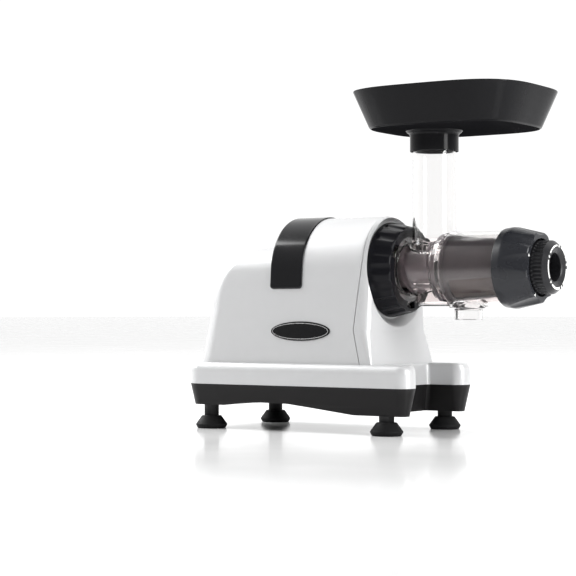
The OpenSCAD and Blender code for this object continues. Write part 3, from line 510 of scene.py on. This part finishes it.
# (x, z) down the seam between housing and bezel, and half the gap between them.
SEAM = [(12, 300), (14, 200), (11, 171), (5.5, 119), (16.5, 76)]
SEAM_GAP = 0.5

shell = combine(rear_block(0), hump_block(0), "UNION")
shell = combine(shell, toe_block(0), "UNION")
for inner in (rear_block(WALL), hump_block(WALL), toe_block(WALL)):
    combine(shell, inner)

bezel = copy(shell)
combine(bezel, prism([(-300, 76), (-300, 300)] + [(x + SEAM_GAP, z) for x, z in SEAM], *THROUGH))
wall = combine(hump_block(0), dish_cut(WALL), "INTERSECT")
combine(bezel, wall, "UNION")
combine(bezel, dish_cut(0))
bezel_bore = 43.4
combine(bezel, spin([(-20, bezel_bore), (40, bezel_bore)], wrap=False))
settle(bezel, "bezel_shell", "base", SILVER, ["end_bezel"], edge=0.45)

combine(shell, prism([(x - SEAM_GAP, z) for x, z in SEAM] + [(120, 76), (120, 300)], *THROUGH))
# The finger pocket under the handle: a walled box in the hump, open at the top.
pocket_box = block((STEP_X - 8, -51, 220), (-75, 51, 280), 6)
combine(shell, combine(hump_block(0), pocket_box, "INTERSECT"), "UNION")
combine(shell, block((-130, -48, 223), (-78, 48, 300), 6))
# Vents, switch opening and cord hole in the far side.
slots = []
for i in range(8):
    x = -120 + VENT_PITCH * i
    vent = [(x, 92, VENT_END), (x + VENT_W, 92, VENT_END), (x + VENT_W, 106, VENT_END), (x, 106, VENT_END)]
    slots.append(prism(fillet(vent), 60, 84))
slots.append(prism([(-160.5, 105), (-139.5, 105), (-139.5, 119), (-160.5, 119)], 60, 84))
slots.append(prism(arc(-186, 116, 7, 0, 345, 23), 60, 84))
combine(shell, join(*slots))
settle(shell, "housing_shell", "base", SILVER, ["motor_housing"], edge=0.45)

# --- Plinth and pan ---


def base_plan(inset, notch_inset):
    """Plan of the base with two lobes at the right end."""
    w, left, right = BASE_W - inset, BASE_LEFT + inset, BASE_RIGHT - inset
    inner, back, nook = 50 + notch_inset, 36 - notch_inset, 5
    r, lobe = max(20 - inset, 2), max(15 - inset, 1.5)
    return (arc(left + r, w - r, r, 90, 180, 8) + arc(left + r, r - w, r, 180, 270, 8)
            + arc(right - lobe, lobe - w, lobe, 270, 360, 8)
            + arc(right - lobe, -inner - lobe, lobe, 0, 90, 8)
            + arc(back + nook, nook - inner, nook, 270, 180, 5)
            + arc(back + nook, inner - nook, nook, 180, 90, 5)
            + arc(right - lobe, inner + lobe, lobe, 270, 360, 8)
            + arc(right - lobe, w - lobe, lobe, 0, 90, 8))


def plinth_block(inset):
    """Plinth with a rounded shoulder, which rolls in less at the notch between the lobes."""
    drop, turn_in = 11, 7
    rings = [[(x, y, PAN_TOP - (2 if inset else 0)) for x, y in base_plan(inset, inset)]]
    for i in range(11):
        t = math.radians(9 * i)
        z = PLINTH_TOP - inset - drop * (1 - math.sin(t))
        roll = turn_in * (1 - math.cos(t))
        rings.append([(x, y, z) for x, y in base_plan(inset + roll, inset + roll * 0.3)])
    return loft(rings)


plinth = combine(plinth_block(0), plinth_block(WALL))
combine(plinth, block((-175, -45, 60), (10, 45, 100), 8))
settle(plinth, "plinth_shell", "base", SILVER, ["base_cover"], edge=0.4)


def belly(rise):
    """Underside of the pan: a leg at each end and a long arch between them."""
    line = [(BASE_LEFT - 20, 28.4, 0), (CHUTE_X - 245, 28.4, 30), (CHUTE_X - 220, 31.5, 60),
            (CHUTE_X - 190, 33, 60), (CHUTE_X - 153, 32.5, 60), (CHUTE_X - 118, 28.5, 60),
            (CHUTE_X - 64, FOOT_TOP, 25), (BASE_RIGHT + 20, FOOT_TOP, 0)]
    return [(x, z + rise) for x, z in fillet(line, False)]


def pan_block(inset):
    """Pan whose sides taper in towards its foot, cut below by the arch."""
    bottom, taper = 20, 7
    rings = []
    for i in range(9):
        z = bottom + (PAN_TOP - 0.1 + (2 if inset else 0) - bottom) * i / 8
        tuck = taper * (PAN_TOP - z) / (PAN_TOP - FOOT_TOP) + inset
        rings.append([(x, y, z) for x, y in base_plan(tuck, tuck)])
    solid = loft(rings)
    under = [(BASE_LEFT - 20, 0), (BASE_RIGHT + 20, 0)] + list(reversed(belly(WALL if inset else 0)))
    return combine(solid, prism(under, *THROUGH))


pan = combine(pan_block(0), pan_block(WALL))
vents = [block((x, -30, 20), (x + VENT_W, 30, 41), VENT_END)
         for x in [-170 + VENT_PITCH * i for i in range(12)]]
combine(pan, join(*vents))
settle(pan, "pan_shell", "base", SATIN, ["base_pan"], edge=1.0)

# --- Feet ---

NECK_R, FLANGE_R = 8.7, 11.7
for i in range(1, 5):
    low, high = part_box(f"foot_{i}")
    middle, top = (low + high) * 500, high.z * 1000
    half = (high.x - low.x) * 500
    foot = [(0, 5, 0.4), (0, half - 2.5, 1.5), (4.5, half, 2), (15, FLANGE_R, 1), (15, NECK_R, 0.8),
            (top, NECK_R, 0), (top, 2, 0), (9, 2, 0), (9, 5, 0.5)]
    settle(spin(fillet(foot), "Z", (middle.x, middle.y), 72), f"foot_pad_{i}", "base", RUBBER,
           [f"foot_{i}"])

# --- Carry handle and badge ---

BAND_X0, BAND_X1, BAND_LOW, PROUD = STEP_X + 0.5, STEP_X + 45.5, 167.0, 1.6
GRIP_X1, GRIP_TURNS = -78.3, (41, 139)


def over_hump(s, height):
    """(y, z) at a length s from the crest along the hump's section, raised by a height."""
    swing = CROWN_R * (math.pi / 2 - LEAN)
    a = math.pi / 2 - max(-swing, min(swing, s)) / CROWN_R
    past = max(0.0, abs(s) - swing)
    y, z = (CROWN_R + height) * math.cos(a), CROWN_Z + (CROWN_R + height) * math.sin(a)
    return y + math.copysign(past * math.sin(LEAN), s), z - past * math.cos(LEAN)


def handle_skin():
    """Band wrapped over the hump, with rounded corners and rolled edges."""
    a = (BAND_X1 - BAND_X0) / 2
    b = CROWN_R * (math.pi / 2 - LEAN) + (CROWN_Z + CROWN_R * math.sin(LEAN) - BAND_LOW) / math.cos(LEAN)
    corner = 4.5
    near = [0, 0.12, 0.35, 0.7, 1.1, 1.6, 2.4, 3.4, 4.5]  # distances in from an edge, closest where it rolls
    lengths = [d - b for d in near]
    lengths += [(corner - b) + (2 * b - 2 * corner) * i / 90 for i in range(1, 90)]
    lengths += [b - d for d in reversed(near)]
    shares = [d / a - 1 for d in near] + [-0.6, -0.3, 0, 0.3, 0.6] + [1 - d / a for d in reversed(near)]
    top, under = [], []
    for v in lengths:
        short = max(0.0, abs(v) - (b - corner))
        half = a - corner + math.sqrt(max(0.0, corner**2 - short**2))
        upper, lower = [], []
        for share in shares:
            u = share * half
            q = Vector((max(0, abs(u) - (a - corner)), short))
            depth = min(PROUD, max(0.0, corner - q.length if min(q) > 0 else min(a - abs(u), b - abs(v))))
            height = math.sqrt(max(0.0, PROUD**2 - (PROUD - depth) ** 2))
            for row, h in ((upper, height), (lower, -0.6)):
                y, z = over_hump(v, h)
                row.append(((BAND_X0 + BAND_X1) / 2 + u, y, z))
        top.append(upper)
        under.append(lower)
    return loft([t + list(reversed(u)) for t, u in zip(top, under)])


def grip_bar():
    """Solid bridge over the finger pocket, with a rounded underside."""
    low, high = CROWN_R - 9, CROWN_R + 0.4
    section = fillet([(BAND_X0 + 0.3, high, 0.5), (BAND_X0 + 0.3, low, 4),
                      (GRIP_X1, low, 0.5), (GRIP_X1, high, 0.5)])
    start, stop = GRIP_TURNS
    turns = [math.radians(start + (stop - start) * i / 40) for i in range(41)]
    return loft([[(x, r * math.cos(a), CROWN_Z + r * math.sin(a)) for x, r in section] for a in turns])


band = combine(handle_skin(), grip_bar(), "UNION")
settle(band, "handle_band", "base", GLOSS, ["carry_handle"], sharp=50)

BADGE_X, BADGE_Z = -66.5, 117.5
BADGE_A, BADGE_B = 41, 11.4
LINE_A, LINE_B = 38.6, 9.2


def on_side(u, v, height):
    """Point on the near side wall, u along it and v up it from the badge's middle."""
    y = -side_w(BADGE_Z)
    c, s = math.cos(LEAN), math.sin(LEAN)
    return BADGE_X + u, y + v * s - height * c, BADGE_Z + v * c + height * s


rings = []
for share, height in ((1, -0.4), (1, 0.5), (0.997, 0.8), (0.988, 1.0), (0.975, 1.1), (0.94, 1.2),
                      (0.8, 1.34), (0.6, 1.42), (0.3, 1.47), (0.05, 1.48)):
    rings.append([on_side(BADGE_A * share * math.cos(t), BADGE_B * math.sin(t) * share, height)
                  for t in [math.tau * i / 96 for i in range(96)]])
settle(loft(rings), "badge_plate", "base", GLOSS, ["badge"], sharp=45)
rings = []
for i in range(120):
    t = math.tau * i / 120
    rings.append([on_side((LINE_A + d) * math.cos(t), (LINE_B + d) * math.sin(t), h)
                  for d, h in ((-0.4, 0.9), (-0.35, 1.36), (0, 1.42), (0.35, 1.36), (0.4, 0.9))])
settle(loft(rings, wrap=True), "badge_rim", "base", RIM, sharp=60)

# --- Lock ring ---

LUGS = [math.radians(a) for a in (30, 150, 270)]
LUG_SLOT, SLOT_R = math.radians(12.1), 45.6
RING_SCOOPS, RING_SCOOP_R, RING_CONE = 16, 11.8, math.radians(13)


def dense(profile, step=2.0):
    """Profile with its long spans divided."""
    result = []
    for (u0, r0), (u1, r1) in zip(profile, profile[1:] + profile[:1]):
        cuts = max(1, round(math.hypot(u1 - u0, r1 - r0) / step))
        result += [(u0 + (u1 - u0) * k / cuts, r0 + (r1 - r0) * k / cuts) for k in range(cuts)]
    return result


def scooped(r, a, count, phase, axis_r, tool_r, soft=0.5):
    """Radius left where a round tool beside the part cuts one of its evenly spaced scoops."""
    step = math.tau / count
    off = (a - phase + step / 2) % step - step / 2
    room = tool_r**2 - (axis_r * math.sin(off)) ** 2
    if tool_r <= 0 or room <= 0:
        return r
    depth = max(0.0, r - (axis_r * math.cos(off) - math.sqrt(room)))
    return r - depth**2 / (depth + soft)


def ring_shape(u, r, a):
    """Radius of the lock ring: slots that let the drum's lugs through, and scoops round the outside."""
    by_lug = any(abs(math.remainder(a - lug, math.tau)) < LUG_SLOT for lug in LUGS)
    if u > 38 and r < SLOT_R and by_lug:
        return SLOT_R
    if r > 48 and 15 < u < 41.3:
        reach = min(1, (u - 15) / 4)
        axis_r = 65.4 - (u - 16.5) * math.tan(RING_CONE)
        return scooped(r, a, RING_SCOOPS, 0, axis_r, RING_SCOOP_R * reach)
    return r


profile = fillet([(RING_BACK, 43.05, 0.4), (RING_BACK, 56.4, 2), (RING_FRONT, 50.2, 3),
                  (RING_FRONT, 38.6, 0.8), (38.5, 38.6, 0.3), (38.5, 46, 0.4), (26.6, 46, 0.3),
                  (26.6, 43.05, 0.4)])
settle(spin(dense(profile), count=288, bend=ring_shape), "ring_shell", "ring", RING,
       ["lock_ring"], sharp=40)

# --- Drum ---

# Outside, from the spigot in the socket over the feed section and its grooved bead to the wide end.
body_line = [(DRUM_BACK, AXIS_R, 0), (DRUM_BACK, SPIGOT_R, 0.6), (14, SPIGOT_R, 0), (14, 36.1, 0),
             (16, 36.1, 0), (16, SPIGOT_R, 0), (40.5, SPIGOT_R, 0.6), (40.5, FEED_R, 1.5),
             (84.5, FEED_R, 1.2), (84.5, 39, 0.8), (86.4, 39, 0.5), (86.4, 38, 0.4), (87.6, 38, 0.4),
             (87.6, 39, 0.5), (89.5, 39, 0.6), (89.5, 41.8, 1), (96.5, DRUM_R, 3),
             (DRUM_END, DRUM_R, 0.6), (DRUM_END, AXIS_R, 0)]
hollow_line = [(12, AXIS_R, 0), (12, FEED_BORE, 1.5), (93.5, FEED_BORE, 1), (93.5, 39, 1),
               (99.5, DRUM_BORE, 2), (180, DRUM_BORE, 0), (180, AXIS_R, 0)]


def channel_block(inset, top):
    """Juice channel under the feed section, with a round end and rounded lower edges."""
    rings = []
    half, middle, floor = 20 - inset, 70.5, 146.5 + inset
    roll = 6 - min(inset, 3)
    for z, back in [(floor + roll * (1 - math.cos(t)), roll * (1 - math.sin(t)))
                    for t in [math.radians(15 * i) for i in range(7)]] + [(top, 0)]:
        r = half - back
        rings.append([(x, y, z) for x, y in arc(middle, 0, r, 90, 270, 32) + [(99.5, -r), (99.5, r)]])
    return loft(rings)


def flared(foot, reach, r, low, high):
    """Upright tube with a concave flare at one end: foot is the flare's radial growth over its reach."""
    line = []
    for i in range(9):
        t = math.radians(90 * i / 8)
        line.append((low + reach * math.sin(t), r + foot * (1 - math.sin(t)) ** 1.6))
    return [(low - 8, r + foot)] + line + [(high, r)]


drum = spin(fillet(body_line, False), wrap=False, count=144)
combine(drum, channel_block(0, 172), "UNION")
chute = [(BARREL_Z, AXIS_R)] + flared(3, 9, CHUTE_R, 216, 348.9) + [(349.4, 24.9), (349.4, AXIS_R)]
combine(drum, upright(chute), "UNION")
spout = [(165, AXIS_R), (165, 22.5), (146, 22.5), (144.6, 21.5), (144.2, 18.2), (143, 16.6), (141.5, 16.2),
         (131.5, 16.2), (131, 15.7), (131, AXIS_R)]
combine(drum, upright(spout, OUTLET_X, 72), "UNION")
for lug in LUGS:
    pie = [(r * math.cos(lug + t), BARREL_Z + r * math.sin(lug + t))
           for r, t in [(36, -0.17)] + [(45, -0.1745 + 0.349 * i / 8) for i in range(9)] + [(36, 0.17)]]
    combine(drum, prism(pie, 31.5, 36, "X"), "UNION")
for k in range(2):
    z = 165 + 6 * k
    rib = fillet([(-33.4, z, 0.7), (-20.5, z, 0), (-20.5, z + 2, 0), (-33.4, z + 2, 0.7)])
    combine(drum, prism(rib, 63.6, 85, "X"), "UNION")
inner = spin(fillet(hollow_line, False), wrap=False, count=144)
channel = combine(channel_block(2.4, 172), block((0, -50, 100), (52.5, 50, 400)))
combine(inner, channel, "UNION")
throat = CHUTE_BORE - 1
shaft = upright([(BARREL_Z, throat), (219.5, throat), (219.5, CHUTE_BORE), (400, CHUTE_BORE)])
combine(inner, shaft, "UNION")
combine(inner, upright([(100, SPOUT_BORE), (175, SPOUT_BORE)], OUTLET_X, 72), "UNION")
combine(inner, spin([(0, 10.05), (16, 10.05)], wrap=False, count=48), "UNION")
combine(drum, inner)
settle(drum, "drum_shell", "drum_unit", CLEAR, ["drum"], sharp=40)

# --- Screen basket and auger ---

SCREEN_X0, SCREEN_X1 = 99.5, 174.5
cone = [(SCREEN_X0, 35.8, 0.3), (SCREEN_X0, 40.3, 0.6), (103.5, 40.3, 0.8), (103.5, 37.6, 1.2),
        (SCREEN_X1, 31.5, 0.6), (SCREEN_X1, 29.3, 0.4)]
basket = spin(fillet(cone), count=120)
window = fillet([(108, -14.5, 3), (166, -14.5, 3), (166, 14.5, 3), (108, 14.5, 3)])
for turn in (225, 315):
    rings = [[(x, *beside(turn, [(reach, w)])[0]) for x, w in window] for reach in (22, 45)]
    combine(basket, loft(rings))
settle(basket, "screen_basket", "drum_unit", BASKET, ["screen_frame"], edge=0.3)
sleeve = [(99.6, 35.72), (174.4, 29.24), (174.4, 28.6), (99.6, 35.1)]
settle(spin(sleeve, count=96), "screen_sleeve", "drum_unit", AMBER, ["screen_mesh"])

core = fillet([(6.5, AXIS_R, 0), (6.5, 10, 0.5), (16, 10, 0.5), (16, 23, 0.6), (18, 23, 0.6), (22, 21, 3),
               (165.5, 25, 4), (171.5, 20, 1), (171.5, 5, 0.5), (185.5, 5, 0.6), (185.5, AXIS_R, 0)], False)
auger = spin(dense(core, 4)[:-2], wrap=False, count=96)
# The blade winds from its first x over its run, on a root that grows with the core.
TURNS, STEPS = 4, 160
BLADE_X, BLADE_RUN, BLADE_R = 26, 137.5, 27.8
rings = []
for k in range(STEPS + 1):
    part = k / STEPS
    a, x = math.tau * TURNS * part, BLADE_X + part * BLADE_RUN
    root = 19.5 + 4 * part
    blade = [(root, 4), (root + 2.5, 2.1), (27.0, 1.5), (27.6, 1.1), (BLADE_R, 0.4), (BLADE_R, -0.4),
             (27.6, -1.1), (27.0, -1.5), (root + 2.5, -2.1), (root, -4)]
    rings.append([(x + w, r * math.cos(a), BARREL_Z + r * math.sin(a)) for r, w in blade])
combine(auger, loft(rings), "UNION")
HEX_R = 5.77
tail = [(HEX_R * math.cos(a), BARREL_Z + HEX_R * math.sin(a))
        for a in [math.radians(30 + 60 * i) for i in range(6)]]
combine(auger, prism(tail, -6.5, 8, "X"), "UNION")
settle(auger, "auger_screw", "auger", AUGER, ["auger"], sharp=40)

# --- End cap and knob ---

SCOOPS, SCOOP_R, SCOOP_TILT, SCOOP_TURN = 9, 24.5, math.radians(17.4), math.radians(12)
RIBS, RIB_DEPTH, RIB_X0, RIB_X1 = 40, 1.3, 209, 221.5


def cap_shape(u, r, a):
    """Radius of the cap: scoops cut by round tools that lean in towards the front."""
    if r > 36 and u > 172:
        reach = 35.8 + (CAP_FRONT - u) * math.tan(SCOOP_TILT)
        return scooped(r, a, SCOOPS, SCOOP_TURN, reach + SCOOP_R, SCOOP_R, 0.3)
    return r


profile = fillet([(CAP_BACK, 43.4, 0.3), (CAP_BACK, 44.8, 0.6), (178, 46.2, 14), (207.4, 39.9, 1.0),
                  (CAP_FRONT, 38.6, 0.6), (CAP_FRONT, 32.5, 0.8), (KNOB_BACK, 32.5, 0.4),
                  (KNOB_BACK, KNOB_BORE_R, 0.5), (217.5, KNOB_BORE_R, 0.5), (217.5, 22, 0.5),
                  (175.5, 22, 0.5), (175.5, KNOB_BORE_R, 0.5), (178.3, KNOB_BORE_R, 0.5),
                  (178.3, 43.4, 0.5)])
cap = spin(dense(profile, 1.5), count=360, bend=cap_shape)
hub = spin(fillet([(175.5, 5.05, 0.3), (175.5, 8, 0.5), (183.5, 8, 0.5), (183.5, 5.05, 0.3)]), count=60)
for turn in (30, 150, 270):
    spoke = beside(turn, ((6.6, -2), (23.4, -2), (23.4, 2), (6.6, 2)))
    combine(hub, prism(spoke, 176, 181, "X"), "UNION")
combine(cap, hub, "UNION")
settle(cap, "cap_shell", "cap", CHARCOAL, ["end_cap"], sharp=40)


def knob_shape(u, r, a):
    """Radius of the knob: grooves between its grip ribs, fading out at both ends."""
    if r > 28.5 and RIB_X0 < u < RIB_X1:
        ramp = min(1, (u - RIB_X0) / 1.5, (RIB_X1 - u) / 1.5)
        return r - RIB_DEPTH * ramp * (0.5 + 0.5 * math.cos(RIBS * a)) ** 2
    return r


profile = fillet([(198.8, 25.05, 0.3), (198.8, 29.2, 0.6), (201, 30, 1), (221.6, 30, 2), (227.3, 25.4, 0.6),
                  (227.3, 21.8, 0.5), (225.4, 17.4, 0.6), (224.2, 15.7, 0.8), (202.5, 15.7, 0.4),
                  (202.5, 18.7, 0.4), (220.5, 18.7, 0.5), (220.5, 25.05, 0.5)])
settle(spin(dense(profile, 0.8), count=360, bend=knob_shape), "knob_shell", "knob", KNOB,
       ["adjusting_knob"], sharp=50)


def face_mark(start, stop, inner_0, inner_1, outer, x):
    """Thin printed arc on a face square to the barrel, widening from inner_0 to inner_1."""
    rings = []
    steps = max(2, round(abs(stop - start) / 4))
    for i in range(steps + 1):
        a = math.radians(start + (stop - start) * i / steps)
        inner = inner_0 + (inner_1 - inner_0) * i / steps
        rings.append([(t, r * math.cos(a), BARREL_Z + r * math.sin(a))
                      for t, r in ((x - 0.3, inner), (x, inner), (x, outer), (x - 0.3, outer))])
    return loft(rings)


MARK_X, MARK_R = 227.42, 25.1
marks = [face_mark(18 + 72 * k, 68 + 72 * k, 23.4 - 0.25 * k, 23.1 - 0.25 * k, MARK_R, MARK_X)
         for k in range(5)]
marks += [face_mark(77 + 72 * k, 83 + 72 * k, 22.6, 22.6, MARK_R, MARK_X) for k in range(5)]
settle(join(*marks), "knob_marks", "knob", WHITE)
pointers = []
for turn in (159, 240):
    pointers.append(prism(beside(turn, ((33.2, 0), (36.8, -2), (36.8, 2))), 208.2, 208.62, "X"))
settle(join(*pointers), "cap_pointers", "cap", WHITE)

# --- Hopper tray ---


def tray_ring(a, b, z, power=3.4, count=120):
    """Superellipse of half length a and half width b round the tray's middle."""
    ring = []
    for i in range(count):
        t = math.tau * i / count
        r = (abs(math.cos(t) / a) ** power + abs(math.sin(t) / b) ** power) ** (-1 / power)
        ring.append((TRAY_X + r * math.cos(t), r * math.sin(t), z))
    return ring


def tray_side(z):
    """(half length, half width) of the tray's flaring side at a height."""
    share = (z - TRAY_Z) / (RIM_Z - TRAY_Z)
    return 90.7 + 17.3 * share, 79.1 + 17.3 * share


def tray_block(inset, low, roll, lip):
    """Tray form from a floor that rolls up into the side to the rings of its lip."""
    rings = []
    first = 20
    for i in range(8):
        t = math.radians(first + 10 * i)
        z = low + roll * (math.cos(math.radians(first)) - math.cos(t))
        back = roll * (1 - math.sin(t)) + inset
        a, b = tray_side(z)
        rings.append(tray_ring(a - back, b - back, z))
    for z, back in lip:
        a, b = tray_side(z)
        rings.append(tray_ring(a - back, b - back, z))
    return loft(rings)


tray = tray_block(0, TRAY_Z, 2.5, ((375, 0), (391.4, 0), (392.3, 0.15), (392.8, 0.5), (RIM_Z, 1.1)))
combine(tray, tray_block(2.5, TRAY_Z + 2.5, 8, ((375, 2.5), (391.8, 2.5), (392.7, 2.2), (393.2, 1.7))))
collar = [(325.5, 27.6), (325.7, 28.1), (326.2, 28.3), (343.5, 28.3), (345.5, 28.8), (346.8, 30),
          (347.6, 31.6), (348.2, 31.9), (348.8, 32.1), (349.3, 33), (351, 33.4)]
combine(tray, upright([(325.5, AXIS_R)] + collar + [(351, AXIS_R)]), "UNION")
collar_bore = 25.65
combine(tray, upright([(300, collar_bore), (TRAY_Z, collar_bore), (TRAY_Z, CHUTE_BORE), (400, CHUTE_BORE)]))
settle(tray, "tray_shell", "hopper", TRAY, ["hopper_tray"], sharp=40)

# --- Room ---

scene.view_settings.view_transform = "Standard"

floor_mesh = bpy.data.meshes.new("floor")
floor_mesh.from_pydata([(-40, -12, 0), (40, -12, 0), (40, 60, 0), (-40, 60, 0)], [], [(0, 1, 2, 3)])
floor = bpy.data.objects.new("floor", floor_mesh)
scene.collection.objects.link(floor)
ground = finish("floor_white", (0.93, 0.93, 0.93), 0.14, grain=40, relief=0.0, mottle=0.01, wear=0.0)
floor_mesh.materials.append(ground)
floor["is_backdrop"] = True

# The backdrop is brightest where the main camera looks and greyer behind it.
LOOK_ALONG = (-0.553, 0.833, 0.0)
world = bpy.data.worlds.new("studio")
scene.world = world
world.use_nodes = True
sky = world.node_tree
back = sky.nodes["Background"]
back.inputs["Strength"].default_value = 1.0
way = sky.nodes.new("ShaderNodeTexCoord")
split = sky.nodes.new("ShaderNodeVectorMath")
split.operation = "DOT_PRODUCT"
split.inputs[1].default_value = LOOK_ALONG
ramp = sky.nodes.new("ShaderNodeMapRange")
ramp.inputs["From Min"].default_value = -0.5
ramp.inputs["From Max"].default_value = 0.5
ramp.inputs["To Min"].default_value = 0.3
ramp.inputs["To Max"].default_value = 1.08
sky.links.new(way.outputs["Generated"], split.inputs[0])
sky.links.new(split.outputs["Value"], ramp.inputs["Value"])
sky.links.new(ramp.outputs["Result"], back.inputs["Color"])


def softbox(name, at, aim, size, power):
    """Rectangular area light at a place, aimed at a point, in metres and watts."""
    lamp = bpy.data.lights.new(name, "AREA")
    lamp.shape, lamp.size, lamp.size_y = "RECTANGLE", size[0], size[1]
    lamp.energy = power
    holder = bpy.data.objects.new(name, lamp)
    scene.collection.objects.link(holder)
    holder.location = at
    holder.rotation_euler = (Vector(aim) - Vector(at)).to_track_quat("-Z", "Y").to_euler()


softbox("key_left", (-2.3, -0.4, 1.7), (0, 0, 0.15), (1.8, 1.8), 90)
softbox("top", (0.0, 0.5, 2.4), (0, 0, 0.1), (2.8, 2.4), 26)
softbox("right", (2.2, -0.2, 0.9), (0.1, 0, 0.2), (0.7, 1.4), 48)

low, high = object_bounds()
